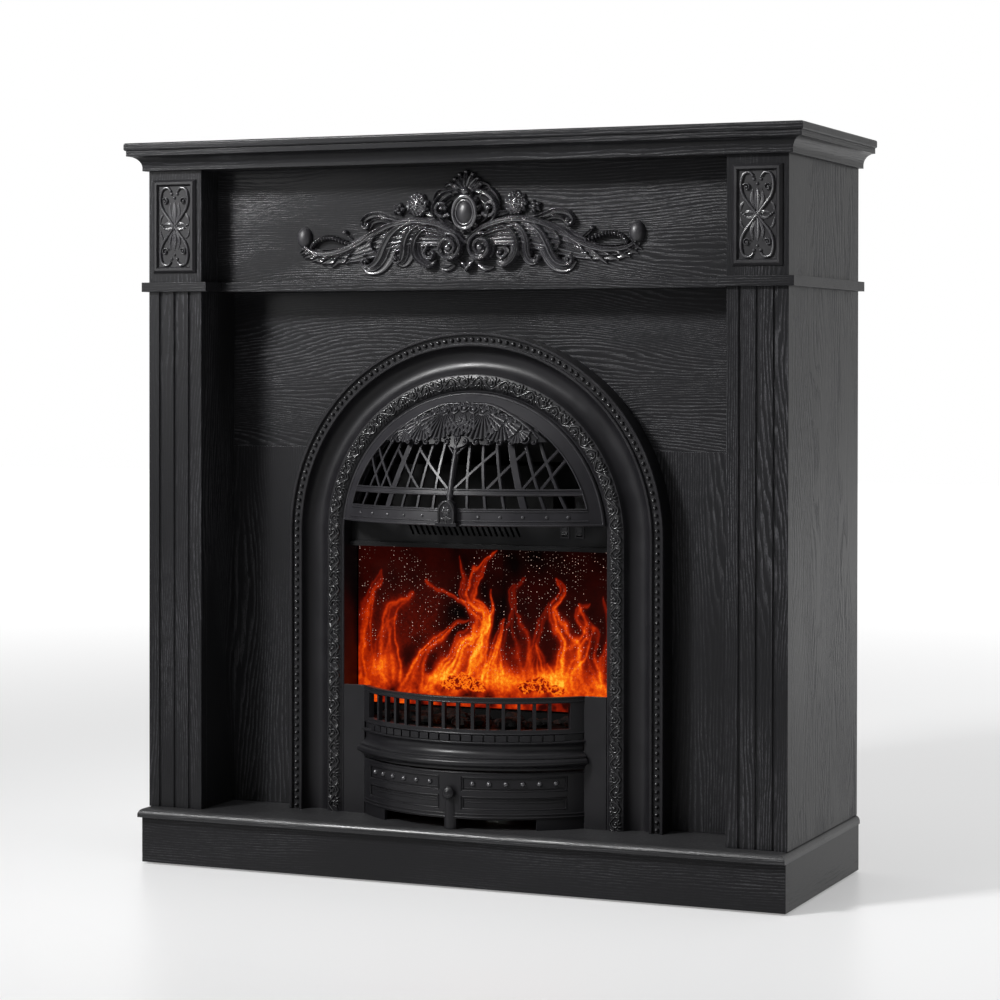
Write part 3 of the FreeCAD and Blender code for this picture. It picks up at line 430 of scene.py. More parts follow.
def lacqueredWood(name, along, bands=1.0, warp=1.0, contrast=1.0, deep=1.0, shine=0.13):
    material, tree, shader = startMaterial(name, Specular_IOR_Level=shine)
    place = objectPlace(tree)
    split, turned = put(tree, "SeparateXYZ"), put(tree, "CombineXYZ")
    feed(place, split.inputs[0])
    for socket, k in zip(turned.inputs, axisOrder[along]):
        feed(split.outputs[k], socket)
    grain = useGroup(tree, openGrain, Vector=turned.outputs[0], Bands=wood["bands"] * bands, Warp=wood["warp"] * warp)
    edge = useGroup(tree, softEdge, Radius=wood["round"])
    dust = useGroup(tree, restDust, Vector=place)
    black = wood["black"]
    tone = blendColour(grain["Tone"], scaled(black, wood["toneLow"]), scaled(black, wood["toneHigh"]))
    colour = blendColour(calc("MULTIPLY", grain["Grain"], contrast, clamp=True), tone, wood["grey"])
    feed(wornAndHighlightColour(colour, edge, dust, wood), shader["Base Color"])
    rough = spread(grain["Grain"], 0.0, 0.8, wood["roughLow"], wood["roughHigh"])
    feed(calc("MULTIPLY_ADD", dust["Dust"], wood["dustDull"], rough), shader["Roughness"])
    feed(bump(grain["Height"], wood["relief"], wood["depth"] * deep, edge["Normal"]), shader["Normal"])
    return material


# the edge colour lightens every edge: partly rubbed wear, partly painted edge highlight
cast = {"black": (0.0050, 0.0048, 0.0056), "light": (0.0090, 0.0087, 0.0100), "edge": (0.034, 0.033, 0.037),
        "edgeWearAndHighlightShare": 0.55, "dust": (0.22, 0.22, 0.22), "dustShare": 0.04, "speckDull": 0.08,
        "roughLow": 0.30, "roughHigh": 0.40, "depth": 0.00012, "round": 0.0007}


def castBlack(name, gloss=0.0, grit=900.0, soft=1.0, shine=0.19, pale=1.0, pitted=0.35):
    material, tree, shader = startMaterial(name, Specular_IOR_Level=shine)
    place = objectPlace(tree)
    skin = useGroup(tree, castSkin, Vector=place, Scale=grit)
    edge = useGroup(tree, softEdge, Radius=cast["round"] * soft)
    dust = useGroup(tree, restDust, Vector=place)
    colour = blendColour(skin["Mottle"], scaled(cast["black"], pale), scaled(cast["light"], pale))
    feed(wornAndHighlightColour(colour, edge, dust, cast), shader["Base Color"])
    rough = mottled(skin, cast["roughLow"] - gloss, cast["roughHigh"] - gloss)
    feed(calc("MULTIPLY_ADD", skin["Speck"], cast["speckDull"], rough), shader["Roughness"])
    feed(bump(skin["Height"], pitted, cast["depth"], edge["Normal"]), shader["Normal"])
    return material


# edges are lightened towards three times the light colour: partly wear, partly painted edge highlight
plastic = {"round": 0.0005, "edgeWearAndHighlightShare": 0.3, "edgeLight": 3, "roughSwing": 0.06, "depth": 0.0001}


def mouldedPlastic(name, black, light, rough, grit=1400.0, strength=0.3, shine=0.5):
    material, tree, shader = startMaterial(name, Specular_IOR_Level=shine)
    skin = useGroup(tree, castSkin, Vector=objectPlace(tree), Scale=grit)
    edge = useGroup(tree, softEdge, Radius=plastic["round"])
    colour = blendColour(skin["Mottle"], black, light)
    share = calc("MULTIPLY", edge["Edge"], plastic["edgeWearAndHighlightShare"])
    feed(blendColour(share, colour, scaled(light, plastic["edgeLight"])), shader["Base Color"])
    swing = plastic["roughSwing"]
    feed(mottled(skin, rough - swing, rough + swing), shader["Roughness"])
    feed(bump(skin["Height"], strength, plastic["depth"], edge["Normal"]), shader["Normal"])
    return material


metal = {"grit": 700.0, "round": 0.0003, "roughSwing": 0.07, "relief": 0.12, "depth": 0.0001}


def bareMetal(name, dark, light, rough):
    material, tree, shader = startMaterial(name, Metallic=1.0)
    skin = useGroup(tree, castSkin, Vector=objectPlace(tree), Scale=metal["grit"])
    edge = useGroup(tree, softEdge, Radius=metal["round"])
    feed(blendColour(skin["Mottle"], dark, light), shader["Base Color"])
    swing = metal["roughSwing"]
    feed(mottled(skin, rough - swing, rough + swing), shader["Roughness"])
    feed(bump(skin["Height"], metal["relief"], metal["depth"], edge["Normal"]), shader["Normal"])
    return material


timber = {"pale": (0.50, 0.36, 0.21), "dark": (0.28, 0.18, 0.09), "bands": 90.0, "warp": 5.0,
          "roughLow": 0.62, "roughHigh": 0.82, "relief": 0.4, "depth": 0.0005}


def sawnTimber(name):
    material, tree, shader = startMaterial(name)
    grain = useGroup(tree, openGrain, Vector=objectPlace(tree), Bands=timber["bands"], Warp=timber["warp"])
    feed(blendColour(grain["Grain"], timber["pale"], timber["dark"]), shader["Base Color"])
    rough = spread(grain["Grain"], 0.0, 1.0, timber["roughLow"], timber["roughHigh"])
    feed(rough, shader["Roughness"])
    feed(bump(grain["Height"], timber["relief"], timber["depth"]), shader["Normal"])
    return material


fire = {"glow": 1.0, "shine": 0.005, "stops": [  # heat and its colour
            (0.0, (0.0016, 0.0004, 0.0004)), (0.14, (0.030, 0.0016, 0.0008)), (0.34, (0.20, 0.0070, 0.0010)),
            (0.54, (0.50, 0.028, 0.0015)), (0.71, (0.84, 0.088, 0.003)), (0.87, (1.0, 0.25, 0.007)),
            (1.0, (1.0, 0.55, 0.040))],
        "glass": [(0.0, (0.0004, 0.0003, 0.0003)), (1.0, (0.004, 0.002, 0.001))],
        "grain": 210.0, "grainLow": 0.88, "grainHigh": 1.10,
        "crack": 105.0, "crackWidth": 0.26, "seamLow": 0.30, "seamHigh": 0.84,
        "spark": (1.0, 0.70, 0.60), "sparks": 215.0, "sparkFrom": 0.30, "sparkSize": 0.15, "sparkSoft": 0.05}


def flamePicture(name):  # marks of heat, coal and glint on the sheet; grain, seams and sparks from textures
    material, tree, shader = startMaterial(name, Roughness=0.5, Specular_IOR_Level=fire["shine"],
                                           Emission_Strength=fire["glow"])
    place = objectPlace(tree)
    heat, coal, glint = [put(tree, "Attribute", attribute_name=label).outputs["Fac"] for label in sheetMarks]
    grain = noise(place, fire["grain"], 3.0, 0.6)
    heat = calc("MULTIPLY", heat, spread(grain, 0.3, 0.7, fire["grainLow"], fire["grainHigh"]))
    crack = calc("MULTIPLY_ADD", noise(place, fire["crack"], 3.0, 0.6), 2.0, -1.0)
    crack = calc("ABSOLUTE", crack)
    seam = spread(crack, fire["crackWidth"], 0.0, fire["seamLow"], fire["seamHigh"])
    heat = calc("ADD", calc("MULTIPLY", heat, calc("SUBTRACT", 1.0, coal)),
                calc("MULTIPLY", seam, coal))
    split, flat = put(tree, "SeparateXYZ"), put(tree, "CombineXYZ")
    feed(place, split.inputs[0])
    feed(split.outputs[0], flat.inputs[0])
    feed(split.outputs[2], flat.inputs[1])
    speck = put(tree, "TexVoronoi", voronoi_dimensions="2D", feature="F1", Scale=fire["sparks"])
    feed(flat.outputs[0], speck.inputs["Vector"])
    tone = put(tree, "SeparateColor")
    feed(speck.outputs["Color"], tone.inputs[0])
    size = spread(tone.outputs[0], fire["sparkFrom"], 1.0, 0.0, fire["sparkSize"])
    spark = calc("SUBTRACT", size, speck.outputs["Distance"])
    spark = calc("MULTIPLY", spread(spark, 0.0, fire["sparkSoft"], 0.0, 1.0), glint)
    spark = calc("MULTIPLY", spark, spread(tone.outputs[1], 0.2, 1.0, 0.25, 1.0))
    colour = blendColour(spark, ramp(heat, fire["stops"]), fire["spark"])
    feed(colour, shader["Emission Color"])
    feed(ramp(heat, fire["glass"]), shader["Base Color"])
    return material


coals = {"glow": 0.012, "shine": 0.08, "rough": 0.85, "crack": 150.0, "crackWidth": 0.22, "crackHeat": 0.9,
         "patch": 55.0, "ash": [(0.0, (0.002, 0.002, 0.002)), (1.0, (0.006, 0.004, 0.0035))],
         "grit": 180.0, "relief": 0.6, "depth": 0.002}


def emberCoal(name):
    material, tree, shader = startMaterial(name, Roughness=coals["rough"], Specular_IOR_Level=coals["shine"],
                                           Emission_Strength=coals["glow"])
    place = objectPlace(tree)
    crack = put(tree, "TexVoronoi", feature="DISTANCE_TO_EDGE", Scale=coals["crack"])
    feed(place, crack.inputs["Vector"])
    warm = spread(noise(place, coals["patch"]), 0.42, 0.66, 0.0, 1.0)
    heat = spread(crack.outputs["Distance"], coals["crackWidth"], 0.0, 0.0, coals["crackHeat"])
    feed(ramp(calc("MULTIPLY", heat, warm), fire["stops"]), shader["Emission Color"])
    feed(ramp(warm, coals["ash"]), shader["Base Color"])
    grit = noise(place, coals["grit"], 4.0)
    feed(bump(grit, coals["relief"], coals["depth"]), shader["Normal"])
    return material


sheetMarks = ("warmth", "coal", "glint")
resin = {"grit": 500.0, "soft": 0.6}
kinds = {
    lacqueredWood: {
        "woodAcross": dict(along="X", contrast=0.42, deep=2.2),
        "woodPanel": dict(along="X", contrast=0.38),
        "woodTrim": dict(along="X", bands=1.1, warp=0.25, contrast=0.35),
        "woodNose": dict(along="X", bands=1.1, warp=0.25, contrast=0.35, shine=0.34),
        "woodUpright": dict(along="Z", bands=0.9, warp=0.7, contrast=0.55),
        "woodSide": dict(along="Z", bands=0.5, warp=0.8, contrast=0.9, deep=3.5),
        "woodBack": dict(along="Z", bands=0.8, warp=0.6, contrast=0.35),
        "woodRun": dict(along="Y", bands=0.9, warp=0.4, contrast=0.4)},
    castBlack: {
        "carvedResin": dict(resin, gloss=0.05, shine=0.8, pale=2.8, pitted=0.05),
        "leafResin": dict(resin, gloss=0.15, shine=1.2, pale=2.8, pitted=0.05),
        "satinResin": dict(resin, gloss=-0.10, shine=0.5, pale=2.0, pitted=0.06),
        "plaqueResin": dict(resin, gloss=-0.04, shine=0.26, pale=1.2, pitted=0.15),
        "castBlack": {},
        "hoodBlack": dict(gloss=-0.04, shine=0.24, pale=1.8),
        "shellBlack": dict(shine=0.26, pale=1.8),
        "beadBlack": dict(gloss=0.08, shine=0.55)},
    mouldedPlastic: {
        "padPlastic": dict(black=(0.015, 0.015, 0.015), light=(0.025, 0.025, 0.025), rough=0.6),
        # black plastic darkened further, as painted shade under the hood
        "heaterPlastic": dict(black=(0.003, 0.003, 0.0033), light=(0.005, 0.005, 0.0053), rough=0.42, shine=0.10),
        "switchPlastic": dict(black=(0.009, 0.009, 0.010), light=(0.014, 0.014, 0.015), rough=0.30, strength=0.1,
                              shine=0.14),
        "sheetBlack": dict(black=(0.010, 0.010, 0.010), light=(0.016, 0.016, 0.0165), rough=0.48, grit=1100.0),
        # black parts darkened far below real paint, as painted shade deep inside the fire
        "innerBlack": dict(black=(0.002, 0.002, 0.002), light=(0.003, 0.003, 0.003), rough=0.6, shine=0.04),
        "boardGreen": dict(black=(0.02, 0.12, 0.05), light=(0.03, 0.18, 0.08), rough=0.35)},
    bareMetal: {
        "finAluminium": dict(dark=(0.62, 0.63, 0.64), light=(0.78, 0.79, 0.80), rough=0.32),
        "motorSteel": dict(dark=(0.34, 0.34, 0.35), light=(0.48, 0.48, 0.49), rough=0.38),
        "brightStrip": dict(dark=(0.74, 0.74, 0.74), light=(0.86, 0.86, 0.86), rough=0.14)},
    sawnTimber: {"sawnTimber": {}},
    flamePicture: {"flamePicture": {}},
    emberCoal: {"emberCoal": {}}}
finishes = {name: make(name, **settings) for make, group in kinds.items() for name, settings in group.items()}
print("finishes ready:", len(finishes))

finishOfSlot = {
    "carved_resin": "carvedResin", "cast_black": "castBlack", "raw_timber": "sawnTimber",
    # heater plastic parts take a darker plastic, painted shade under the hood
    "glide_plastic": "padPlastic", "heater_plastic": "heaterPlastic", "switch_plastic": "switchPlastic",
    "sheet_black": "sheetBlack", "flame_glass": "flamePicture", "fin_aluminium": "finAluminium",
    "motor_steel": "motorSteel", "spindle_bright": "brightStrip", "board_green": "boardGreen"}
nodesOfFinish = {  # nodes that don't take their slot's finish, or woodAcross
    "woodTrim": "mantel_top cornice_front band_centre band_cap_left band_cap_right plinth_front",
    "woodNose": "hearth_board",
    "woodUpright": "pilaster_left pilaster_right cheek_left cheek_right frieze_block_left frieze_block_right",
    "woodSide": "side_left side_right",
    "woodPanel": "upper_back_panel",
    "woodBack": "lower_back_left lower_back_right",
    "woodRun": "cornice_left cornice_right plinth_left plinth_right",
    # these inner parts take the near-black painted shade
    "innerBlack": "heater_housing screen_frame firebox_shell ember_tray ptc_element thermal_cutout",
    "hoodBlack": "hood"}
finishOfNode = {node: finish for finish, names in nodesOfFinish.items() for node in names.split()}


def dressNodes():
    for part in frame["record"]["subparts"]:
        name = part["node"]
        finish = finishOfNode.get(name) or finishOfSlot.get(part["material_slot"], "woodAcross")
        mesh = nodes[name].data
        mesh.materials.clear()
        mesh.materials.append(finishes[finish])


dressNodes()
print("frame dressed")


# arched surround: rim with beads, cavetto, foliage band

arch = {"rim": 0.0225, "wall": 0.005, "channel": 0.005, "cavetto": 0.0425, "cavettoDepth": 0.016,
        "band": 0.0265, "bandRise": 0.003, "lip": 0.0025, "step": 0.006, "sleeve": 0.0045, "sleeveBack": -0.046,
        "ease": 0.0012, "bead": 0.0036, "beadPitch": 0.0116, "arcSteps": 96}
legLength = springZ - hearthTop
bandOuter = archHalf - arch["rim"] - arch["cavetto"]
bandInner = bandOuter - arch["band"]
bandMid = (bandOuter + bandInner) / 2
rimMid = archHalf - arch["rim"] / 2
bandFront = archFront + arch["step"]
beadBed = archFront + arch["channel"]


def arcLine(start, middle, end, steps):  # circle through three points of a section
    (ax, ay), (bx, by), (cx, cy) = start, middle, end
    d = 2 * (ax * (by - cy) + bx * (cy - ay) + cx * (ay - by))
    a2, b2, c2 = ax * ax + ay * ay, bx * bx + by * by, cx * cx + cy * cy
    ox = (a2 * (by - cy) + b2 * (cy - ay) + c2 * (ay - by)) / d
    oy = (a2 * (cx - bx) + b2 * (ax - cx) + c2 * (bx - ax)) / d
    r = hypot(ax - ox, ay - oy)
    t0, tm, t1 = [atan2(y - oy, x - ox) for x, y in (start, middle, end)]
    tm += 2 * pi if tm < t0 else 0
    t1 += 2 * pi if t1 < t0 else 0
    t1 -= 2 * pi if tm > t1 else 0
    angles = [t0 + (t1 - t0) * i / steps for i in range(steps + 1)]
    return [(ox + r * cos(t), oy + r * sin(t)) for t in angles]


def archSection():
    rimInner = archHalf - arch["rim"]
    inner = bandInner - arch["lip"]
    wall, ease = arch["wall"], arch["ease"]
    points = [(inner, arch["sleeveBack"]), (inner + arch["sleeve"], arch["sleeveBack"]),
              (inner + arch["sleeve"], panelFront), (archHalf, panelFront)]
    for low, high in ((archHalf - wall, archHalf), (rimInner, rimInner + wall)):  # two thin walls beside the beads
        points += [(high, archFront + ease), (high - ease, archFront), (low + ease, archFront), (low, archFront + ease)]
        if high == archHalf:
            points += [(low, beadBed), (rimInner + wall, beadBed)]
    hollow = ((bandOuter + rimInner) / 2, bandFront + arch["cavettoDepth"])
    points += arcLine((rimInner, archFront + 2 * ease), hollow, (bandOuter, bandFront + ease), 14)
    points += [(bandOuter - ease, bandFront)]
    crest = (bandMid, bandFront - arch["bandRise"])
    points += arcLine((bandOuter - 2 * ease, bandFront), crest, (bandInner + ease, bandFront), 8)
    return points + [(bandInner, bandFront + ease), (inner + ease, bandFront + ease), (inner, bandFront + 2 * ease)]


def archPlace(distance, radius):  # point and outward direction along a line of the arch, from the left foot
    if distance <= legLength:
        return -radius, hearthTop + distance, -1.0, 0.0
    distance -= legLength
    if distance <= pi * radius:
        turn = pi - distance / radius
        return radius * cos(turn), springZ + radius * sin(turn), cos(turn), sin(turn)
    distance -= pi * radius
    return radius, springZ - distance, 1.0, 0.0


def archSkin(radius, surface):
    def skin(distance, out, lift):
        x, z, nx, nz = archPlace(distance, radius)
        return Vector((x + nx * out, surface(out) - lift, z + nz * out))
    return skin


def evenPitch(radius, pitch):  # number and pitch of equal parts along a line of the arch
    length = 2 * legLength + pi * radius
    count = int(length / pitch)
    return count, length / count


def buildSurround():
    section = archSection()
    stations = [(-1.0, hearthTop, 0.0), (-1.0, springZ, 0.0)]  # direction across, height and direction up
    for i in range(1, arch["arcSteps"]):
        turn = pi * (1 - i / arch["arcSteps"])
        stations.append((cos(turn), springZ, sin(turn)))
    stations += [(1.0, springZ, 0.0), (1.0, hearthTop, 0.0)]
    shape = newShape()
    closeRows(shape, [[Vector((r * nx, y, z + r * nz)) for r, y in section] for nx, z, nz in stations])
    piece = makePiece("archSurround", shape, "castBlack", sharp=32)
    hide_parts("arch_frame")
    beads = newShape()
    skin = archSkin(rimMid, lambda out: beadBed)
    count, pitch = evenPitch(rimMid, arch["beadPitch"])
    for i in range(count):
        addStud(beads, skin, (i + 0.5) * pitch, 0, arch["bead"], arch["channel"])
    makePiece("archBeads", beads, "beadBlack", sharp=60)


foliage = {"motif": 0.045, "vine": (0.0034, 0.0026), "vineFoot": 0.001, "vineSwing": 0.0085,  # width and rise
           "curl": (0.0030, 0.0030), "curlReach": 0.0066, "curlStart": 100, "curlTurns": 1.15,
           "eyeAlong": 0.52, "eyeOut": 0.0015, "eye": (0.0018, 0.0038), "stroke": (0.0030, 0.0026),
           "feathers": 5, "featherFrom": 0.40, "featherStep": 0.14, "featherOut": 0.0035,
           "featherReach": (0.0070, 0.0078),
           "sprays": 3, "sprayFrom": 0.86, "sprayStep": 0.10, "sprayOut": 0.0015, "sprayReach": (0.0035, 0.0105),
           "sprayLess": (0.0010, 0.0015), "sprayBend": 0.0062, "bow": 0.0010}


def buildFoliage():
    shape = newShape()
    half = arch["band"] / 2
    skin = archSkin(bandMid, lambda out: bandFront - arch["bandRise"] * max(0.0, 1 - (out / half) ** 2))
    count, pitch = evenPitch(bandMid, foliage["motif"])
    span = pitch / 2

    def addStroke(root, bend, tip):
        addStrand(shape, skin, [root, bend, tip], *foliage["stroke"], root=0.5, tip=0.2, across=5)

    for i in range(2 * count):
        start, flip = i * span, -1 if i % 2 else 1
        foot, swing = flip * foliage["vineFoot"], flip * foliage["vineSwing"]
        addStrand(shape, skin, [(start, -foot), (start + 0.5 * span, swing), (start + span, foot)], *foliage["vine"],
                  tip=0.9)
        eye = (start + foliage["eyeAlong"] * span, -flip * foliage["eyeOut"])
        curl = spiral(*eye, foliage["curlReach"], foliage["curlStart"] * flip, -flip * foliage["curlTurns"])
        addStrand(shape, skin, curl, *foliage["curl"], root=1.0, tip=0.7)
        addStud(shape, skin, *eye, *foliage["eye"], sides=8, rings=3)
        for k in range(foliage["feathers"]):  # feathered strokes under the vine
            turn = radians(-150 + 30 * k)
            along, out = foliage["featherReach"]
            root = (start + (foliage["featherFrom"] + foliage["featherStep"] * k) * span, -flip * foliage["featherOut"])
            tip = (root[0] + along * cos(turn), root[1] + flip * out * sin(turn))
            addStroke(root, ((root[0] + tip[0]) / 2 + foliage["bow"], (root[1] + tip[1]) / 2), tip)
        for k in range(foliage["sprays"]):  # sprays at its crossing
            (along, out), (more, less) = foliage["sprayReach"], foliage["sprayLess"]
            root = (start + (foliage["sprayFrom"] + foliage["sprayStep"] * k) * span, flip * foliage["sprayOut"])
            tip = (root[0] + along + more * k, flip * (out - less * k))
            addStroke(root, (root[0] + foliage["bow"], flip * foliage["sprayBend"]), tip)
    makePiece("archFoliage", shape, "beadBlack", sharp=60)


buildSurround()
buildFoliage()
print("arched surround built")


# carved onlay of the frieze, in millimetres from the middle and above the floor

carving = {
    "oval": (0, 1037, 14.0, 19.0, 11), "ovalBase": 8, "ring": (19, 25), "tubes": [(1.0, 13, 3.2), (0.76, 12, 1.92)],
    "petals": 12, "petal": (12, 11), "petalReach": ((0.8, 0.8), (1.1, 1.1), (1.34, 1.30)), "petalTurn": 0.1,
    "crest": {"root": (0, 1066), "reach": 37, "less": 0.18, "leaves": 7, "fan": 60, "leaf": (12, 12),
              "stud": (3.4, 5), "studAt": 0.93, "hub": (7, 8)},
    "scrolls": [  # x, z, radius, start angle, turns, width, rise
        (27, 983, 23, 75, 2.1, 8, 20), (60, 974, 11, 60, -1.1, 7, 15), (118, 966, 7, 200, 1.0, 6, 14),
        (171, 963, 9, 230, 1.1, 7, 14), (40, 1044, 15, 215, 1.25, 8, 14), (171, 1021, 8, 40, -1.0, 6, 13)],
    "rose": (27, 983, 22, 12),  # x, z, radius, rise
    "bed": ([(5, 986), (50, 1000), (100, 1000), (150, 991), (190, 980), (225, 972), (264, 975)], 44, 12),
    "bedRibs": 6, "bedGroove": 0.5, "bladeRibs": 4, "slimRibs": 2, "slim": 14, "bladeGroove": 0.36,
    "lean": 0.5,  # the blades' ridge runs near their upper edge
    "blades": [  # spine, width, rise
        ([(2, 988), (22, 1003), (48, 1014), (80, 1019), (110, 1017), (136, 1010), (160, 1000), (182, 988)], 26, 20),
        ([(8, 984), (30, 998), (56, 1007), (84, 1008), (106, 1000)], 16, 16),
        ([(74, 1019), (102, 1016), (121, 1002), (132, 984), (140, 967), (152, 954), (168, 951), (180, 961)], 29, 20),
        ([(128, 1019), (157, 1004), (178, 989), (203, 977), (229, 971), (255, 972), (275, 980), (286, 995)], 25, 18),
        ([(128, 1011), (147, 1004), (157, 991), (151, 979), (140, 981)], 10, 16),
        ([(66, 1021), (88, 1010), (98, 992), (100, 974), (108, 961), (121, 964)], 24, 19),
        ([(46, 1014), (69, 1009), (81, 994), (82, 977), (74, 964), (61, 957), (51, 963)], 20, 19),
        ([(112, 1026), (132, 1031), (152, 1036), (170, 1032), (177, 1022), (168, 1013)], 13, 15),
        ([(126, 1022), (145, 1027), (160, 1024), (166, 1015)], 9, 13),
        ([(10, 1072), (36, 1064), (50, 1047), (48, 1030), (34, 1017)], 14, 18),
        ([(25, 1056), (37, 1044), (35, 1029), (25, 1021)], 8, 15), ([(40, 1030), (58, 1034), (74, 1038)], 11, 12),
        ([(196, 986), (220, 983), (242, 981), (264, 984)], 6, 14), ([(194, 996), (202, 1002), (209, 1009)], 5, 10),
        ([(12, 962), (5, 955), (0, 946)], 11, 14), ([(20, 956), (32, 950), (46, 952)], 11, 12),
        ([(184, 990), (194, 975), (209, 960)], 11, 14), ([(200, 980), (217, 968), (233, 955)], 11, 14),
        ([(214, 976), (232, 969), (252, 960)], 11, 14), ([(240, 974), (256, 969), (270, 965)], 10, 14),
        ([(261, 977), (272, 974), (283, 970)], 9, 13), ([(272, 984), (280, 981), (289, 976)], 8, 12),
        ([(22, 1064), (38, 1072), (50, 1064), (56, 1050)], 9, 12), ([(12, 1072), (26, 1082), (38, 1078)], 8, 11)],
    "flower": (83, 1050, 20, 9, 12), "bunch": 46, "seed": 5, "berry": (1.8, 3.2), "berrySunk": (0.5, 2.0),
    "berryRise": 4, "bud": (115, 1044, 11, 5, 11), "budTurn": 0.5, "tipBud": (209, 1010, 4.2, 7),
    "rope": [(200, 990), (216, 996), (231, 1001), (245, 1001), (258, 996), (266, 988)], "twists": 15,
    "twist": (1.9, 5.0, 9), "bulb": (281, 1002, 13, 17.5, 14)}


def friezeSkin(x, z, lift):
    return Vector((x * mm, friezeFront - lift * mm, z * mm))


petal = {"bend": 0.55, "sweep": 0.18, "width": 0.72, "eye": 0.26, "eyeRise": 0.35, "eyeBase": 0.75}  # shares


def polar(x, z, reach, angle):
    return x + reach * cos(angle), z + reach * sin(angle)


def addFlower(shape, skin, x, z, reach, petals, rise, turn=0.0):
    for k in range(petals):
        angle = 2 * pi * k / petals + turn
        bend = polar(x, z, petal["bend"] * reach, angle + petal["sweep"])
        addLeaf(shape, skin, [(x, z), bend, polar(x, z, reach, angle)], petal["width"] * reach, rise,
                root=0.3, tip=0.25, groove=0.35, across=7)
    addStud(shape, skin, x, z, petal["eye"] * reach, petal["eyeRise"] * rise, base=rise * petal["eyeBase"], sides=10)


def mirrorShape(shape):
    count = len(shape["points"])
    shape["points"].extend([Vector((-p.x, p.y, p.z)) for p in shape["points"][:count]])
    shape["faces"].extend([tuple(count + k for k in reversed(face)) for face in shape["faces"]])


def addSprays(shape):  # the right half: leaves, scrolls, flower, bud and rope
    addLeaf(shape, friezeSkin, *carving["bed"], ribs=carving["bedRibs"], groove=carving["bedGroove"])
    for spine, width, rise in carving["blades"]:
        ribs = carving["bladeRibs"] if width > carving["slim"] else carving["slimRibs"]
        addLeaf(shape, friezeSkin, spine, width, rise, ribs=ribs, root=0.5, tip=0.3, groove=carving["bladeGroove"],
                across=25, lean=carving["lean"])
    for x, z, radius, start, turns, width, rise in carving["scrolls"]:
        line = spiral(x, z, radius, start, turns)
        addLeaf(shape, friezeSkin, line, width, rise, root=0.9, tip=0.4, groove=0.2, across=11)
        addStud(shape, friezeSkin, x, z, 0.25 * radius, 0.3 * rise, base=0.75 * rise)
    addStud(shape, friezeSkin, *carving["rose"], sides=24)
    x, z, reach, petals, rise = carving["flower"]
    addFlower(shape, friezeSkin, x, z, reach, petals, rise)
    addStud(shape, friezeSkin, x, z, 0.86 * reach, rise, sides=20)
    for k in range(carving["bunch"]):
        a, r = random.uniform(0, 2 * pi), reach * sqrt(random.random()) * 0.85
        size = random.uniform(*carving["berry"])
        lift = rise * sqrt(1 - (r / reach) ** 2) - random.uniform(*carving["berrySunk"])
        addStud(shape, friezeSkin, *polar(x, z, r, a), size, carving["berryRise"], base=lift, sides=8, rings=3)
    addFlower(shape, friezeSkin, *carving["bud"], carving["budTurn"])
    for p in smoothLine(carving["rope"], carving["twists"] - 1):
        addBall(shape, friezeSkin, p.x, p.y, *carving["twist"], base=4, sides=10)
    addStud(shape, friezeSkin, *carving["tipBud"], base=4)


def addCartouche(shape):  # rings and petals round the oval, and the crest over it
    x, z = carving["oval"][:2]
    wide, high = carving["ring"]
    for grow, lift, thick in carving["tubes"]:
        line = [friezeSkin(x + grow * wide * c, z + grow * high * s, lift) for c, s in evenTurns(40)]
        addTube(shape, line, thick * mm, closed=True)
    for k in range(carving["petals"]):
        a = 2 * pi * (k + 0.5) / carving["petals"]
        line = []
        for (across, up), turn in zip(carving["petalReach"], (0, 0, carving["petalTurn"])):
            line.append((x + across * wide * cos(a + turn), z + up * high * sin(a + turn)))
        addLeaf(shape, friezeSkin, line, *carving["petal"], root=0.8, tip=0.3, groove=0.35)
    crest = carving["crest"]
    cx, cz = crest["root"]
    for k in range(crest["leaves"]):
        lean = radians(crest["fan"] * (2 * k / (crest["leaves"] - 1) - 1))
        reach = crest["reach"] * (1 - crest["less"] * abs(sin(lean)))
        line = [(cx + t * reach * sin(lean), cz + t * reach * cos(lean)) for t in (0, 0.6, 1)]
        addLeaf(shape, friezeSkin, line, *crest["leaf"], root=0.3, tip=0.35, groove=0.45)
        tipX, tipZ = line[-1]
        addStud(shape, friezeSkin, tipX * crest["studAt"], cz + (tipZ - cz) * crest["studAt"], *crest["stud"],
                base=5, sides=8, rings=3)
    addStud(shape, friezeSkin, cx, cz + 4, *crest["hub"], base=9)


def buildCarving():
    random.seed(carving["seed"])
    shape, bosses = newShape(), newShape()
    addSprays(shape)
    mirrorShape(shape)
    addBall(bosses, friezeSkin, *carving["bulb"], sides=18, rings=6)
    mirrorShape(bosses)
    addBall(bosses, friezeSkin, *carving["oval"], base=carving["ovalBase"], sides=28, rings=7)
    makePiece("friezeBosses", bosses, "satinResin", sharp=60)
    addCartouche(shape)
    piece = makePiece("friezeCarving", shape, "leafResin", sharp=55)
    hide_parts("frieze_ornament")


buildCarving()
print("frieze carving built")


# plaques on the frieze blocks: bevelled border, sunk field, two opposed scrolled tulips

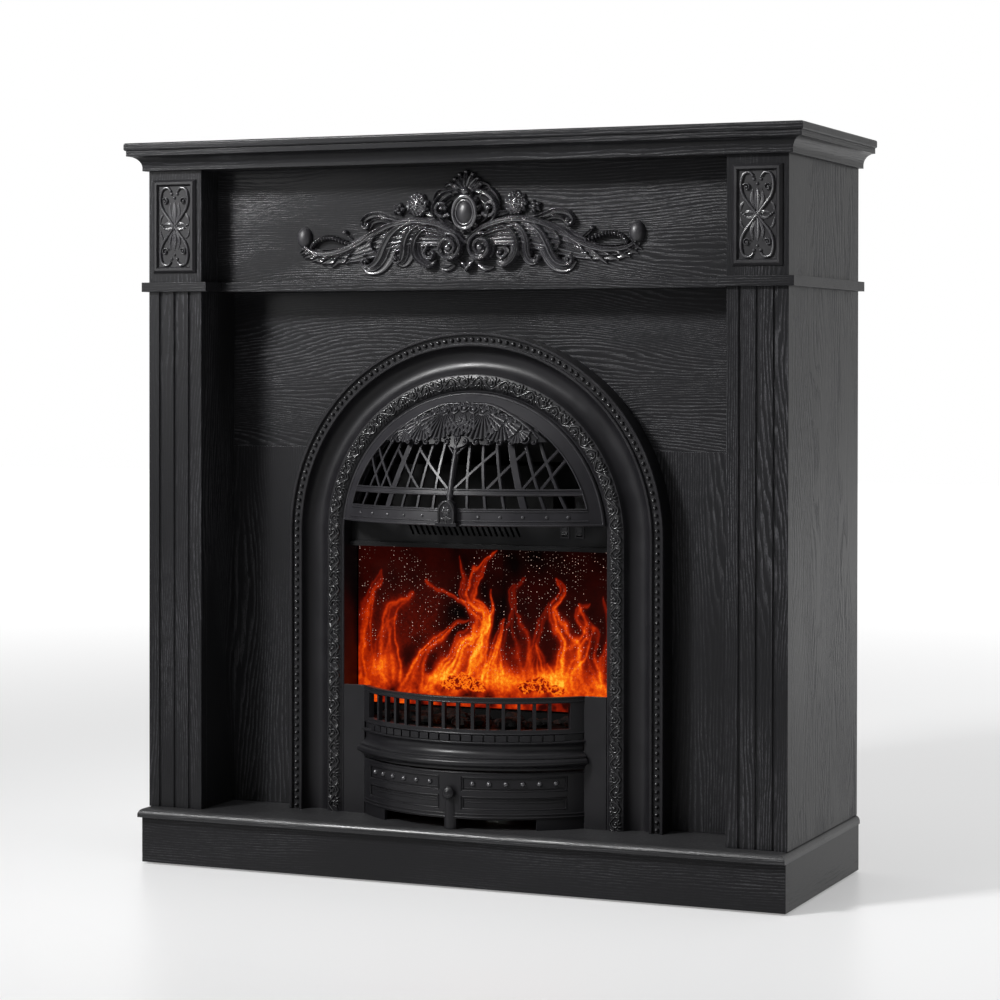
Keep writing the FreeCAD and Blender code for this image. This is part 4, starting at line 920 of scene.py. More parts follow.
plaque = {"border": 0.0095, "bevel": 0.0040, "sink": 0.0045, "rim": 0.002, "slope": 0.001, "steep": 0.8,
          "vine": (4.8, 4.2), "stem": [(0.02, 0.0), (0.3, 0.17), (0.72, 0.42), (0.86, 0.66), (0.74, 0.9), (0.4, 0.95),
                                       (0.2, 0.86)],  # lines in shares of the field, sizes in millimetres
          "end": (0.18, 0.80), "endStud": (2.6, 3.2), "eye": (0.56, 0.62), "eyeStud": (2.0, 3.4),
          "curl": (2.6, 4.2), "curlReach": 6.2, "curlStart": 60, "curlTurns": 1.25,
          "leaves": [([(0.10, 0.12), (0.30, 0.34), (0.24, 0.58)], 6.0, 2.2, 0, 0.4),  # line, width, rise, teeth, root
                     ([(0.72, 0.3), (0.86, 0.2), (0.9, 0.06)], 4.5, 2.2, 0, 0.5),
                     ([(0.08, 0.03), (0.4, 0.07), (0.72, 0.03)], 5.5, 2.4, 3, 0.4)],
          "tulip": (10, 2.8), "tulipUp": (0.08, 0.34, 0.60), "tip": 0.70, "tipStud": (2.4, 3.0),
          "flower": (6.5, 6, 2.8), "berries": 3, "berryFrom": 0.62, "berryStep": (0.1, 2.4), "berry": (2.2, 2.9)}


def buildPlaque(node, name):
    low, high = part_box(node)
    cx, cz = (low.x + high.x) / 2, (low.z + high.z) / 2
    halfWide, halfHigh = (high.x - low.x) / 2, (high.z - low.z) / 2
    border, bevel, sink = plaque["border"], plaque["bevel"], plaque["sink"]
    fieldY = low.y + sink
    rows = []
    for inset, y in ((0, high.y), (0, low.y + bevel), (bevel, low.y), (border - plaque["rim"], low.y),
                     (border, low.y + plaque["steep"] * sink), (border + plaque["slope"], fieldY)):
        w, h = halfWide - inset, halfHigh - inset
        rows.append([Vector((cx + sx * w, y, cz + sz * h)) for sx, sz in ((-1, -1), (1, -1), (1, 1), (-1, 1))])
    plate = newShape()
    closeRows(plate, rows)
    piece = makePiece(name, plate, "plaqueResin", sharp=26)
    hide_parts(node)

    shape = newShape()
    w, h = (halfWide - border) / mm, (halfHigh - border) / mm

    def skin(x, z, lift):
        return Vector((cx + x * mm, fieldY - lift * mm, cz + z * mm))

    for up in (1, -1):
        for out in (1, -1):
            def at(x, z):
                return out * x * w, up * z * h
            addStrand(shape, skin, [at(*p) for p in plaque["stem"]], *plaque["vine"])
            addStud(shape, skin, *at(*plaque["end"]), *plaque["endStud"], sides=10)
            eye, hand = at(*plaque["eye"]), out * up
            curl = spiral(*eye, plaque["curlReach"], 90 - hand * plaque["curlStart"], hand * plaque["curlTurns"])
            addStrand(shape, skin, curl, *plaque["curl"], tip=0.7)
            addStud(shape, skin, *eye, *plaque["eyeStud"], sides=8)
            for line, width, rise, teeth, root in plaque["leaves"]:
                addLeaf(shape, skin, [at(*p) for p in line], width, rise, teeth=teeth, root=root, across=7)
        addLeaf(shape, skin, [(0, up * t * h) for t in plaque["tulipUp"]], *plaque["tulip"], root=0.35)
        addStud(shape, skin, 0, up * plaque["tip"] * h, *plaque["tipStud"], sides=8)
    addFlower(shape, skin, 0, 0, *plaque["flower"])
    for side in (1, -1):
        for k in range(plaque["berries"]):
            along, rise = plaque["berryStep"]
            x = side * (plaque["berryFrom"] + along * k) * w
            addStud(shape, skin, x, (k - 1) * rise, *plaque["berry"], sides=8, rings=3)
    makePiece(name + "Vines", shape, "carvedResin", sharp=26)


buildPlaque("rosette_left", "plaqueLeft")
buildPlaque("rosette_right", "plaqueRight")
print("plaques built")


# domed hood: ridges, rivets, centre rod, fluted shells and the carved pull; x and z in millimetres

hood = {"rim": 0.2232, "sag": 0.090, "inset": 0.004, "rail": 27, "window": 204.2, "rimIn": 2.2,
        "ridges": [(25.8, 0, 0.0012), (22.4, 0, 0.0012), (8.0, -1, 0.0012), (47.8, 0, 0.0017), (55.2, 0, 0.0017)],
        # height over the foot, change of the window's radius, thickness
        "windowEdge": 0.0016, "rimEdge": 0.0018, "rimFoot": 2, "footRidge": 0.0016, "footUp": 1.6,
        "rivets": (47, 81, 114, 147, 176), "rivetUp": 14.5, "rivet": (2.6, 2.4), "proud": 0.5,
        "rodFoot": 38, "rodTop": 676, "rodSteps": 16, "rodThick": 0.0048, "rodTaper": 0.0014,
        "hook": [(0, 660), (8, 670), (15, 677)], "hookThick": 0.0016,
        "barCollar": (47, 0.0062), "collars": [(672, 0.0056), (600, 0.0058)], "collarHalf": 1.6}
hoodRadius = (hood["rim"] ** 2 + hood["sag"] ** 2) / (2 * hood["sag"])
hoodCentreY = archFront + hood["inset"] - hood["sag"] + hoodRadius
spring = springZ / mm


def hoodSkin(lift):
    def skin(x, z, more):
        r = hoodRadius + lift
        dz = z * mm - springZ
        deep = sqrt(max(1e-9, r * r - (x * mm) ** 2 - dz * dz))
        return Vector((x * mm, hoodCentreY - deep - more * mm, z * mm))
    return skin


def hoodRidge(shape, skin, edge, z, thick, steps=40):  # level ridge between both edges
    addTube(shape, [skin(edge * (2 * i / steps - 1), z, 0) for i in range(steps + 1)], thick)


def hoodArc(shape, skin, radius, z, thick, steps=80):  # from the height z over the top and down again
    start = asin((z - spring) / radius)
    turns = [start + (pi - 2 * start) * i / steps for i in range(steps + 1)]
    addTube(shape, [skin(*polar(0, spring, radius, a), 0) for a in turns], thick)


def buildHoodTrim():
    trim, studs = newShape(), newShape()
    skin = hoodSkin(0.0)
    foot = railFoot / mm
    for up, wider, thick in hood["ridges"]:
        radius = hood["window"] + wider
        hoodRidge(trim, skin, sqrt(radius ** 2 - (foot + up - spring) ** 2), foot + up, thick)
    hoodArc(trim, skin, hood["window"], foot + hood["rail"], hood["windowEdge"])
    rim = hood["rim"] / mm - hood["rimIn"]
    hoodArc(trim, skin, rim, foot + hood["rimFoot"], hood["rimEdge"])
    hoodRidge(trim, skin, rim - 1, foot + hood["footUp"], hood["footRidge"])
    for x in hood["rivets"]:
        for side in (1, -1):
            addStud(studs, skin, side * x, foot + hood["rivetUp"], *hood["rivet"], sides=10)
    makePiece("hoodRivets", studs, "carvedResin", sharp=60)

    shares = [i / hood["rodSteps"] for i in range(hood["rodSteps"] + 1)]
    low, proud = foot + hood["rodFoot"], hood["proud"]
    addTube(trim, [skin(0, low + (hood["rodTop"] - low) * t, proud) for t in shares],
            [hood["rodThick"] - hood["rodTaper"] * t for t in shares], sides=10)
    for side in (1, -1):
        addTube(trim, [skin(side * x, z, proud) for x, z in hood["hook"]], hood["hookThick"])
    up, thick = hood["barCollar"]
    for z, r in [(foot + up, thick)] + hood["collars"]:
        addTube(trim, [skin(0, z + end * hood["collarHalf"], proud) for end in (-1, 1)], r, sides=12)
    makePiece("hoodTrim", trim, "hoodBlack", sharp=50)


shells = {"lift": 0.005, "turn": 0.26, "shorter": 0.16, "flute": (4.2, 3.6), "fluteAt": (0.1, 0.55, 1.0),
          "fans": [(0, 736, 20, 44, 5), (33, 731, 58, 44, 11), (65, 718, 54, 35, 10), (92, 703, 50, 22, 8),
                   (16, 734, 12, 36, 3), (50, 727, 14, 32, 3), (79, 713, 12, 22, 3)],  # x, z, fan, reach, flutes
          "strokes": 5, "strokeFan": 26, "strokeAt": (4, 8, 13), "strokeFlat": 0.62, "stroke": (3.4, 2.6),
          "hub": (5.0, 4.2), "ring": 7.5, "ringUp": 1.2, "ringThick": 0.0013, "flower": (0, 716, 9, 8, 4.5),
          "drop": ([(0, 698), (0, 688), (0, 678)], 12, 4.5), "curl": (3.4, 5.0), "curlEye": (2.0, 5.4),
          "curls": [(15, 683, 5.5, 120, -1.3), (33, 683, 6.0, 60, 1.3), (52, 682, 5.5, 120, -1.2),
                    (70, 682, 5.5, 60, 1.2), (86, 682, 5.0, 120, -1.2), (106, 686, 8.0, 110, -1.3),
                    (119, 683, 4.5, 60, -1.1)],  # x, z, radius, start angle, turns
          "sweeps": [([(60, 733), (88, 718), (110, 702), (124, 688)], 4.5, 3.0),
                     ([(10, 742), (40, 740), (70, 728), (96, 712)], 4.0, 3.0)]}


def addShell(shape, skin, side, x, z, fan, reach, flutes):
    aim = radians(-90 + shells["turn"] * x)
    middle = (flutes - 1) / 2
    for k in range(flutes):
        a = aim + radians(fan * (k / middle - 1))
        long = reach * (1 - shells["shorter"] * abs(k - middle) / flutes)
        line = [(side * (x + t * long * cos(a)), z + t * long * sin(a)) for t in shells["fluteAt"]]
        addStrand(shape, skin, line, *shells["flute"], root=0.25, tip=1.75)
    for k in range(shells["strokes"]):  # short strokes above the hub
        a = -aim + radians(shells["strokeFan"] * (k - 2))
        line = [(side * (x + t * cos(a)), z + shells["strokeFlat"] * t * sin(a)) for t in shells["strokeAt"]]
        addStrand(shape, skin, line, *shells["stroke"], root=0.5, tip=0.3, across=5)
    addStud(shape, skin, side * x, z, *shells["hub"])
    ring = [skin(side * x + shells["ring"] * c, z + shells["ring"] * s, shells["ringUp"]) for c, s in evenTurns(20)]
    addTube(shape, ring, shells["ringThick"], closed=True)


def buildShells():
    shape = newShape()
    skin = hoodSkin(shells["lift"])
    for fan in shells["fans"]:
        for side in (1, -1) if fan[0] else (1,):
            addShell(shape, skin, side, *fan)
    addFlower(shape, skin, *shells["flower"])
    addLeaf(shape, skin, *shells["drop"], ribs=3, root=0.9, tip=0.35, groove=0.5)
    for x, z, radius, start, turns in shells["curls"]:
        for side in (1, -1):
            curl = [(side * a, b) for a, b in spiral(x, z, radius, start, turns)]
            addStrand(shape, skin, curl, *shells["curl"], tip=0.6)
            addStud(shape, skin, side * x, z, *shells["curlEye"], sides=8)
    for side in (1, -1):
        for line, width, rise in shells["sweeps"]:
            addStrand(shape, skin, [(side * x, z) for x, z in line], width, rise, root=0.8, tip=0.5)
    makePiece("hoodShells", shape, "shellBlack", sharp=55)


# heights from the middle of the handle
pull = {"sunk": 0.0025, "edge": [(-12, -14), (-12.5, 2), (-9, 12), (0, 18), (9, 12), (12.5, 2), (12, -14)],
        "edgeUp": 0.4, "edgeThick": 0.0015, "flowerUp": 3, "flower": (8.0, 6, 1.7),
        "leaves": [([(0, -5), (5, -9), (9, -7)], 4.5, 1.5), ([(0, -5), (-5, -9), (-9, -7)], 4.5, 1.5),
                   ([(0, -4), (0, -9), (0, -14)], 5.0, 1.6)]}


def buildPull():
    shape = newShape()
    low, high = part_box("hood_handle")
    middle = (low.z + high.z) / 2 / mm

    def skin(x, z, lift):
        return Vector((x * mm, low.y + pull["sunk"] - lift * mm, z * mm))

    def raised(line):
        return [(x, middle + z) for x, z in line]

    edge = smoothLine(raised(pull["edge"]), 36)
    addTube(shape, [skin(p.x, p.y, pull["edgeUp"]) for p in edge], pull["edgeThick"])
    addFlower(shape, skin, 0, middle + pull["flowerUp"], *pull["flower"])
    for line, width, rise in pull["leaves"]:
        addLeaf(shape, skin, raised(line), width, rise, across=7)
    makePiece("hoodPull", shape, "beadBlack", sharp=50)


buildHoodTrim()
buildShells()
buildPull()
print("hood trimmed")


# bow-front grate: rolled rail, dentil moulding, panelled cover with rivets, turned knob

grate = {"half": 0.187, "sag": 0.086, "plateBack": 0.007}
bowRadius = (grate["half"] ** 2 + grate["sag"] ** 2) / (2 * grate["sag"])
bowY = archFront + grate["plateBack"] - grate["sag"] + bowRadius
bowAngle = degrees(asin(grate["half"] / bowRadius))


def bowPoint(out, angle, z):
    turn = radians(angle)
    return Vector(((bowRadius + out) * sin(turn), bowY - (bowRadius + out) * cos(turn), z))


def bowRidge(shape, out, z, thick, a0=-bowAngle, a1=bowAngle, steps=48):
    addTube(shape, [bowPoint(out, a0 + (a1 - a0) * i / steps, z) for i in range(steps + 1)], thick)


moulding = {"steps": 56, "back": -0.008, "under": 0.0010,  # places are out from the bow and below the top
            "edge": [(0.0, 0.0), (0.0009, 0.0015), (0.0, 0.003), (-0.0022, 0.0034), (-0.0022, 0.0130)],
            "bead": [(0.0015, 0.0135), (0.0034, 0.0150), (0.0015, 0.0165)],
            "cove": [(0.0010, 0.0172), (-0.0026, 0.0270), (0.0056, 0.0360)],
            "step": [(0.0062, 0.0362), (0.0062, 0.0385), (0.0052, 0.0392)],
            "torus": [(0.0062, 0.0405), (0.0118, 0.0455), (0.0062, 0.0505)],
            "foot": [(0.0054, 0.0512), (0.0020, 0.0535)],
            "dentils": 20, "dentilStep": 4.2, "dentilWide": 3.5,  # steps in degrees
            "dentil": [(-0.003, 0.0128), (0.0016, 0.0128), (0.0016, 0.0036), (-0.003, 0.0036)]}


def buildMoulding():
    low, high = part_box("grate_moulding")

    def below(part):
        return [(out, high.z - down) for out, down in moulding[part]]

    def sweep(section, turns):
        closeRows(shape, [[bowPoint(out, a, z) for out, z in section] for a in turns])

    shape = newShape()
    section = [(moulding["back"], low.z), (moulding["back"], high.z)] + below("edge")
    section += arcLine(*below("bead"), 6) + arcLine(*below("cove"), 10) + below("step") + arcLine(*below("torus"), 10)
    section += arcLine(*below("foot"), (moulding["under"], low.z), 5)
    sweep(section, [bowAngle * (2 * i / moulding["steps"] - 1) for i in range(moulding["steps"] + 1)])
    step, wide = moulding["dentilStep"], moulding["dentilWide"]
    for i in range(moulding["dentils"]):
        a = (i - moulding["dentils"] / 2) * step + (step - wide) / 2
        sweep(below("dentil"), (a, a + wide / 2, a + wide))
    piece = makePiece("grateMoulding", shape, "castBlack", sharp=38)
    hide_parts("grate_moulding")


cover = {"stile": 4.2, "edge": 43.0, "gap": 0.5, "inner": 0.8, "fieldTop": 0.007, "fieldFoot": 0.031, "split": 0.45,
         "ridges": [("grate", -0.0012, -0.0005, 0.0016), ("grate", -0.0075, -0.0002, 0.0014),  # over, up, out, thick
                    ("cover", -0.0018, -0.0004, 0.0015), ("hearth", 0.0195, -0.0004, 0.0016),
                    ("hearth", 0.0245, 0.0, 0.0012)],
         "rail": 0.007, "inset": 0.0012, "frame": (-0.0010, 0.0015), "fine": (-0.0022, 0.0008),  # out, thick
         "fineUp": (0.005, -0.0125, -0.0165), "bar": (-0.0012, 0.0011), "barShort": 0.001,
         "rivets": 6, "rivetFrom": 8.4, "rivetStep": 6.1, "rivetZ": 0.161, "rivet": (0.0044, 0.0042),
         "rivetSunk": 0.0026, "tail": (0.143, 0.0905), "tailWide": 0.0190, "tailRise": 0.0046, "tailSunk": 0.0012,
         "knob": [(0.0055, 0.0085), (0.0078, 0.0078), (0.0096, 0.0062), (0.0100, 0.0045), (0.0092, 0.0026),
                  (0.0072, 0.0011), (0.0044, 0.0003), (0.0038, 0.0008), (0.0030, 0.0002), (0.0, 0.0)]}


def buildCover():
    trim, studs = newShape(), newShape()
    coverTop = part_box("ashpan_cover")[1].z
    fieldTop, fieldFoot = coverTop - cover["fieldTop"], hearthTop + cover["fieldFoot"]
    split = fieldTop - cover["split"] * (fieldTop - fieldFoot)
    inset, inner = cover["inset"], cover["inner"]
    bases = {"grate": grateTop, "cover": coverTop, "hearth": hearthTop}
    for base, up, out, thick in cover["ridges"]:  # from side to side
        bowRidge(trim, out, bases[base] + up, thick)
    for side in (1, -1):
        a0, a1 = sorted((side * (cover["stile"] + cover["gap"]), side * (cover["edge"] - cover["gap"])))
        out, thick = cover["frame"]
        for z in (fieldTop - inset, split + inset, split - cover["rail"] - inset, fieldFoot + inset):
            bowRidge(trim, out, z, thick, a0, a1, 24)
        out, thick = cover["fine"]
        for up in cover["fineUp"]:
            bowRidge(trim, out, split + up, thick, a0 + inner, a1 - inner, 24)
        out, thick = cover["bar"]
        for a in (a0, a1):
            for z0, z1 in ((split, fieldTop), (fieldFoot, split - cover["rail"])):
                ends = (z0 + cover["barShort"], z1 - cover["barShort"])
                addTube(trim, [bowPoint(out, a, z) for z in ends], thick)
        for k in range(cover["rivets"]):
            angle = side * (cover["rivetFrom"] + k * cover["rivetStep"])
            turn = radians(angle)

            def skin(x, z, lift):
                base = bowPoint(lift - cover["rivetSunk"], angle, z)
                return base + Vector((cos(turn) * x, sin(turn) * x, 0))
            addStud(studs, skin, 0, cover["rivetZ"], *cover["rivet"])

    def tailSkin(x, z, lift):  # the post that runs from the knob to the middle foot
        return bowPoint(lift - cover["tailSunk"], degrees(x / bowRadius), z)
    top, foot = cover["tail"]
    addStrand(trim, tailSkin, [(0, top), (0, (top + foot) / 2), (0, foot)], cover["tailWide"], cover["tailRise"],
              root=0.75, tip=1.0, across=9)
    makePiece("grateTrim", trim, "castBlack", sharp=50)
    makePiece("coverRivets", studs, "carvedResin", sharp=60)

    low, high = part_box("ashpan_knob")
    knob = newShape()
    cz = (low.z + high.z) / 2
    profile = [(cover["knob"][0][0], high.y)] + [(r, low.y + y) for r, y in cover["knob"]]
    rows = [[Vector((r * c, y, cz + r * s)) for c, s in evenTurns(28)] for r, y in profile]
    addRows(knob, rows, loopAcross=True)
    addCap(knob, rows[0])
    piece = makePiece("coverKnob", knob, "castBlack", sharp=45)
    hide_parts("ashpan_knob")


buildMoulding()
buildCover()
print("grate built")


# flames on the screen, in millimetres; embers behind the bars

flames = {"across": 300, "up": 170, "seed": 4.7, "tongues": [  # spine, width, heat
    ([(-196, 262), (-214, 345), (-208, 412), (-184, 448), (-171, 467)], 34, 0.50),
    ([(-176, 262), (-186, 318), (-178, 372), (-150, 398)], 40, 0.34),
    ([(-156, 262), (-170, 352), (-164, 402), (-138, 421), (-128, 434)], 36, 0.62),
    ([(-140, 262), (-112, 332), (-76, 370), (-30, 391)], 30, 0.78),
    ([(-120, 262), (-88, 306), (-52, 344), (-16, 372)], 28, 0.62),
    ([(-100, 262), (-62, 322), (-22, 372), (-26, 412), (-58, 428), (-96, 446)], 34, 0.66),
    ([(-76, 262), (-36, 335), (-5, 392), (-25, 436), (-5, 474), (21, 508)], 34, 0.84),
    ([(-60, 262), (-20, 330), (-2, 380), (-34, 430), (-28, 470), (-40, 500)], 26, 0.52),
    ([(-20, 262), (-10, 345), (6, 410), (9, 440)], 26, 0.84),
    ([(6, 262), (10, 330), (24, 368), (33, 404)], 36, 0.88),
    ([(30, 262), (22, 320), (33, 372)], 30, 0.80),
    ([(62, 262), (54, 366), (49, 417), (66, 470)], 42, 0.40),
    ([(70, 262), (72, 330), (88, 390), (104, 430)], 30, 0.34),
    ([(92, 262), (96, 340), (83, 376)], 26, 0.66),
    ([(116, 262), (118, 310), (108, 346)], 44, 0.74),
    ([(132, 262), (140, 368), (112, 414), (136, 442), (123, 472)], 38, 0.84),
    ([(150, 262), (138, 318), (158, 362), (176, 396), (160, 428)], 40, 0.70),
    ([(192, 262), (170, 350), (182, 384), (158, 406), (174, 438)], 40, 0.56),
    ([(212, 262), (200, 330), (214, 392), (196, 444)], 30, 0.44)],
    "coals": [(-40, 300, 24, 13), (-14, 294, 18, 10), (-62, 294, 16, 9), (92, 300, 26, 12), (70, 295, 14, 9),
              (120, 294, 16, 8)],  # x, z, half width, half height
    "hot": [(-184, 314, 24, 20, 0.60), (111, 312, 34, 18, 0.62), (8, 306, 34, 24, 0.45), (183, 302, 28, 16, 0.50),
            (-90, 304, 30, 12, 0.35)],  # x, z, half width, half height, heat
    "sway": (5, 15), "flutter": 2.5, "heave": 16,
    "steps": 36, "slim": 0.8, "veil": 0.32, "thread": 0.80, "threadAt": 0.40, "wave": 0.13, "halo": 0.20,
    "bedZ": 302, "bedHigh": 26, "bedFoot": 22, "smokeEdge": 30, "smokeLeft": 0.30, "smokeRight": 0.17}


swirls = {"sway": (0.018, 0.011, 0.0), "flutter": (0.05, 0.03, 3.0), "heave": (0.016, 0.013, 7.0),
          "wisp": (0.030, 0.012, 11.0), "smoke": (0.010, 0.009, 17.0), "patches": (0.020, 0.02, 23.0),
          "lumps": (0.09, 0.09, 29.0), "glint": (0.016, 0.018, 37.0), "low": (0.04, 0.04, 41.0)}  # scales and layer


def swirl(x, z, name):  # cloudy values at the points
    scaleX, scaleZ, layer = swirls[name]
    layer += flames["seed"]
    return numpy.array([cloud.fractal(Vector((a * scaleX, b * scaleZ, layer)), 1.0, 2.0, 4) for a, b in zip(x, z)])


def nearLine(x, z, line):  # distance to a line, and the share of its length
    near, share = numpy.full(len(x), 1e9), numpy.zeros(len(x))
    last = len(line) - 1
    for i in range(last):
        a, ab = line[i], line[i + 1] - line[i]
        t = numpy.clip(((x - a.x) * ab.x + (z - a.y) * ab.y) / ab.length_squared, 0, 1)
        away = numpy.hypot(x - a.x - t * ab.x, z - a.y - t * ab.y)
        hit = away < near
        near[hit] = away[hit]
        share[hit] = (i + t[hit]) / last
    return near, share


def threadLine(line, width, k, m):  # waving line beside the middle of a tongue
    last = flames["steps"]
    thread = []
    for i, p in enumerate(line):
        u = i / last
        ahead = (line[min(i + 1, last)] - line[max(i - 1, 0)]).normalized()
        sway = flames["threadAt"] * m + flames["wave"] * sin(7 * u + 2.1 * k + 1.7 * m)
        thread.append(p + Vector((-ahead.y, ahead.x)) * (width * (1 - u) ** flames["slim"] * sway))
    return thread


def bell(away, wide):
    return numpy.exp(-(away / wide) ** 2)


def tongueCold(x, z, wisp):  # share of the dark that all the tongues leave
    cold = numpy.ones(len(x))
    for k, (spine, width, gain) in enumerate(flames["tongues"]):
        line = smoothLine(spine, flames["steps"])
        near, share = nearLine(x, z, line)
        wide = width * (0.10 + 0.90 * (1 - share) ** flames["slim"])
        veil = bell(near, 0.46 * wide) * (0.75 + 0.5 * wisp) * numpy.clip(1 - share, 0, 1) ** 0.35
        cold *= 1 - numpy.clip(gain * flames["veil"] * veil, 0, 0.9)
        for m in (-1, 0, 1):  # bright threads along the edges and the middle of the tongue
            near, share = nearLine(x, z, threadLine(line, width, k, m))
            fine = 1.3 + 0.055 * width * (1 - share) * (1 + 0.5 * sin(3.1 * k + m))
            glow = bell(near, fine) + flames["halo"] * bell(near, 3.2 * fine)
            fall = numpy.clip(1 - share, 0, 1) ** 0.30 * (0.72 + 0.28 * numpy.sin(5 * share + 1.3 * k + 2 * m))
            cold *= 1 - numpy.clip(gain * fall * flames["thread"] * glow, 0, 0.95)
    return cold


def heatField(x, z):  # heat, coal and glint of every point of the sheet, from the tongues' lines
    stir = {name: swirl(x, z, name) for name in swirls}
    up = (z - screenLow.z / mm) / ((screenHigh.z - screenLow.z) / mm)
    calm, wild = flames["sway"]
    bendX = x + (calm + wild * up) * stir["sway"] + flames["flutter"] * stir["flutter"]
    bendZ = z + flames["heave"] * stir["heave"]
    cold = tongueCold(bendX, bendZ, stir["wisp"])
    smoke = numpy.clip(0.42 + 1.2 * stir["smoke"], 0, 1) * (0.9 - 0.6 * up)
    smoke *= numpy.where(x < flames["smokeEdge"], flames["smokeLeft"], flames["smokeRight"])
    bed = bell(z - flames["bedZ"], flames["bedHigh"]) * (0.05 + 0.70 * numpy.clip(0.30 + 1.6 * stir["patches"], 0, 1))
    for hx, hz, wide, high, gain in flames["hot"]:
        bed = 1 - (1 - bed) * (1 - gain * bell(bendX - hx, wide) * bell(bendZ - hz, high))
    heat = 1 - cold * (1 - smoke) * (1 - numpy.clip(bed, 0, 0.88))
    low = numpy.clip((flames["bedZ"] - z) / flames["bedFoot"], 0, 1)  # dimmer behind the bars
    heat = heat * (1 - low) + low * numpy.clip(0.42 + 0.5 * stir["low"], 0.1, 0.75)
    coal = numpy.zeros(len(x))
    for cx, cz, wide, high in flames["coals"]:
        reach = numpy.hypot((x - cx) / wide, (z - cz) / high) + 0.32 * stir["lumps"]
        coal = numpy.maximum(coal, numpy.clip((1.0 - reach) / 0.12, 0, 1))
    glint = numpy.clip((stir["glint"] + 0.20) / 0.20, 0, 1) * numpy.clip((up - 0.16) / 0.2, 0, 1)
    return heat, coal, glint


def buildFlames():
    shape = newShape()
    across, up = flames["across"], flames["up"]
    size = screenHigh - screenLow
    rows = []
    for i in range(up + 1):
        z = screenLow.z + size.z * i / up
        rows.append([Vector((screenLow.x + size.x * j / across, screenLow.y, z)) for j in range(across + 1)])
    addRows(shape, rows)
    front, wide = len(shape["points"]), across + 1
    rim = list(range(wide)) + [i * wide + across for i in range(1, up + 1)]
    rim += [up * wide + j for j in range(across - 1, -1, -1)] + [i * wide for i in range(up - 1, 0, -1)]
    back = [shape["points"][k].copy() for k in rim]
    for p in back:
        p.y = screenHigh.y
    addCap(shape, back)
    for n in range(len(rim)):
        m = (n + 1) % len(rim)
        shape["faces"].append((rim[m], rim[n], front + n, front + m))
    piece = makePiece("flameSheet", shape, "flamePicture", weld=False)
    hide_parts("flame_screen")
    places = numpy.array([(p.x / mm, p.z / mm) for p in shape["points"]])
    for label, values in zip(sheetMarks, heatField(places[:, 0], places[:, 1])):
        mark = piece.data.attributes.new(label, "FLOAT", "POINT")
        mark.data.foreach_set("value", values.astype("float32"))


embers = {"count": 70, "seed": 11, "size": (0.006, 0.013), "half": 0.165, "behind": 0.026, "before": 0.016,
          "rough": 0.22, "flat": 0.72, "stretch": 1.2, "sides": 9, "rings": 5}


def addEmber(shape, x, y, z, r):
    rows = []
    for m in range(embers["rings"] + 1):
        lift = pi * m / embers["rings"] - pi / 2
        row = []
        for c, s in evenTurns(embers["sides"]):
            rough, out = 1, 0.0
            if 0 < m < embers["rings"]:
                rough += random.uniform(-embers["rough"], embers["rough"])
                out = r * cos(lift) * rough
            up = r * embers["flat"] * (1 + sin(lift)) * (0.9 + 0.1 * rough)
            row.append(Vector((x + out * c * embers["stretch"], y + out * s, z + up)))
        rows.append(row)
    addRows(shape, rows, loopAcross=True)


def buildEmbers():
    random.seed(embers["seed"])
    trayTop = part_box("ember_tray")[1].z
    shape = newShape()
    for k in range(embers["count"]):
        x = random.uniform(-embers["half"], embers["half"])
        deep = bowY - sqrt((bowRadius - embers["behind"]) ** 2 - x * x)
        y = random.uniform(deep, screenLow.y - embers["before"])
        addEmber(shape, x, y, trayTop, random.uniform(*embers["size"]))
    makePiece("emberBed", shape, "emberCoal", sharp=25)


buildFlames()
buildEmbers()
print("fire built")


# plain stage, soft light and the camera

studio = {"floor": (0.48, 0.48, 0.483), "floorHalf": 14, "floorRough": 0.35, "backdrop": 1.0, "front": 0.05,
          "rear": 0.66, "overhead": 0.66, "near": (1.0, 0.29), "far": (6.0, 0.72),  # distance and glow of the floor
          "lights": [  # name, place, aim, width, height, watts, spread in degrees
              ("keyLeft", (-1.9, -3.0, 2.9), (0, -0.1, 0.9), 0.7, 0.7, 20, 46),
              ("stripFront", (-1.1, -2.7, 2.7), (0, -0.1, 0.8), 2.0, 0.14, 22, 180),
              ("panelLeft", (-2.5, -3.2, 1.5), (-0.4, -0.2, 0.75), 1.0, 1.4, 26, 180),
              ("fillRight", (4.2, 0.4, 2.0), (0.5, 0, 0.6), 2.0, 2.0, 9, 180),
              ("topSoft", (0.2, -0.4, 4.4), (0, 0, 0.6), 3.0, 3.0, 56, 180)]}


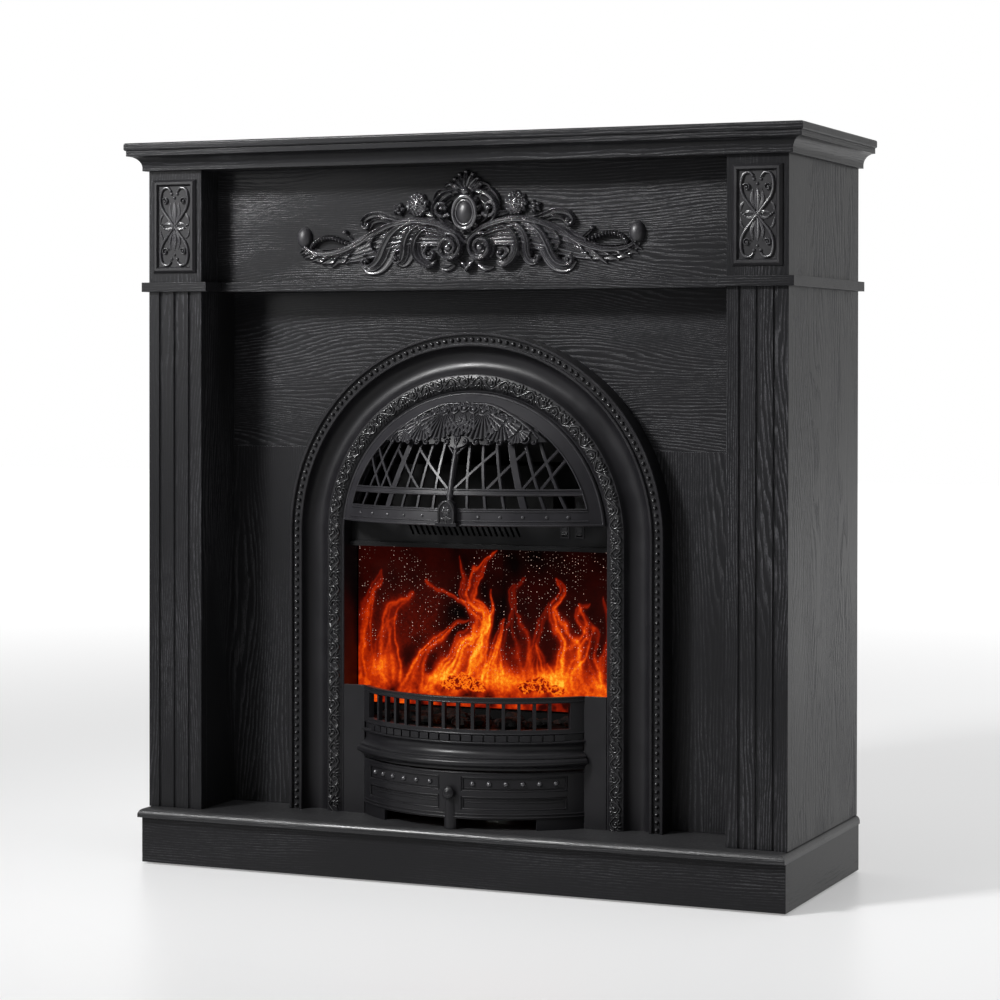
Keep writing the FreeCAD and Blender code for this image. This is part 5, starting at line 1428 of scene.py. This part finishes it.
def buildFloor():
    mesh = bpy.data.meshes.new("studioFloor")
    half = studio["floorHalf"]
    mesh.from_pydata([(-half, -half, 0), (half, -half, 0), (half, half, 0), (-half, half, 0)], [], [(0, 1, 2, 3)])
    floor = newObject("studioFloor", mesh)
    material, tree, shader = startMaterial("studioFloor", Roughness=studio["floorRough"], Emission_Strength=1.0)
    away = put(tree, "VectorMath", operation="LENGTH")
    feed(objectPlace(tree), away.inputs[0])
    (near, nearGlow), (far, farGlow) = studio["near"], studio["far"]
    glow = spread(away.outputs["Value"], near, far, nearGlow, farGlow)  # keeps the horizon pale
    feed(blendColour(glow, (0, 0, 0), (1, 1, 1)), shader["Emission Color"])
    soft = noise(objectPlace(tree), 1.2, 2.0)
    feed(blendColour(soft, scaled(studio["floor"], 0.98), studio["floor"]), shader["Base Color"])
    mesh.materials.append(material)


def buildSky():  # white room behind, darker room in front
    world = bpy.data.worlds.new("studioSky")
    bpy.context.scene.world = world
    world.use_nodes = True
    tree = world.node_tree
    sky = tree.nodes["Background"]
    split = put(tree, "SeparateXYZ")
    feed(put(tree, "TexCoord").outputs["Generated"], split.inputs[0])
    glow = spread(split.outputs[1], -0.5, 0.8, studio["front"], studio["rear"])
    glow = calc("MAXIMUM", glow, spread(split.outputs[2], 0.15, 0.9, 0.0, studio["overhead"]))
    seen = put(tree, "LightPath").outputs["Is Camera Ray"]
    glow = calc("MAXIMUM", glow, calc("MULTIPLY", seen, studio["backdrop"]))
    sky.inputs["Color"].default_value = (1, 1, 1, 1)
    feed(glow, sky.inputs["Strength"])


def buildLights():
    for name, place, aim, wide, high, watts, cone in studio["lights"]:
        lamp = bpy.data.lights.new(name, "AREA")
        lamp.energy = watts
        lamp.shape = "RECTANGLE"
        lamp.size = wide
        lamp.size_y = high
        lamp.spread = radians(cone)
        holder = newObject(name, lamp)
        holder.location = place
        holder.rotation_euler = (Vector(aim) - Vector(place)).to_track_quat("-Z", "Y").to_euler()


camera = {"place": (1.73649, -4.0602, 0.8044), "yaw": 0.403, "pitch": -0.0122, "roll": -0.0012, "sensor": 36.0,
          "focal": 2779.33, "middleDown": 396.68, "picture": 1000.0, "far": 60}  # focal length and picture in pixels


def buildCamera():
    data = bpy.data.cameras.new("photoCamera")
    data.sensor_width = camera["sensor"]
    data.lens = camera["focal"] / camera["picture"] * camera["sensor"]
    data.shift_y = camera["middleDown"] / camera["picture"] - 0.5
    data.clip_end = camera["far"]
    holder = newObject("photoCamera", data)
    holder.location = camera["place"]
    holder.rotation_euler = (pi / 2 + camera["pitch"], camera["roll"], camera["yaw"])
    bpy.context.scene.camera = holder


buildFloor()
buildSky()
buildLights()
buildCamera()
bpy.context.scene.view_settings.view_transform = "Standard"
print("stage and camera ready")
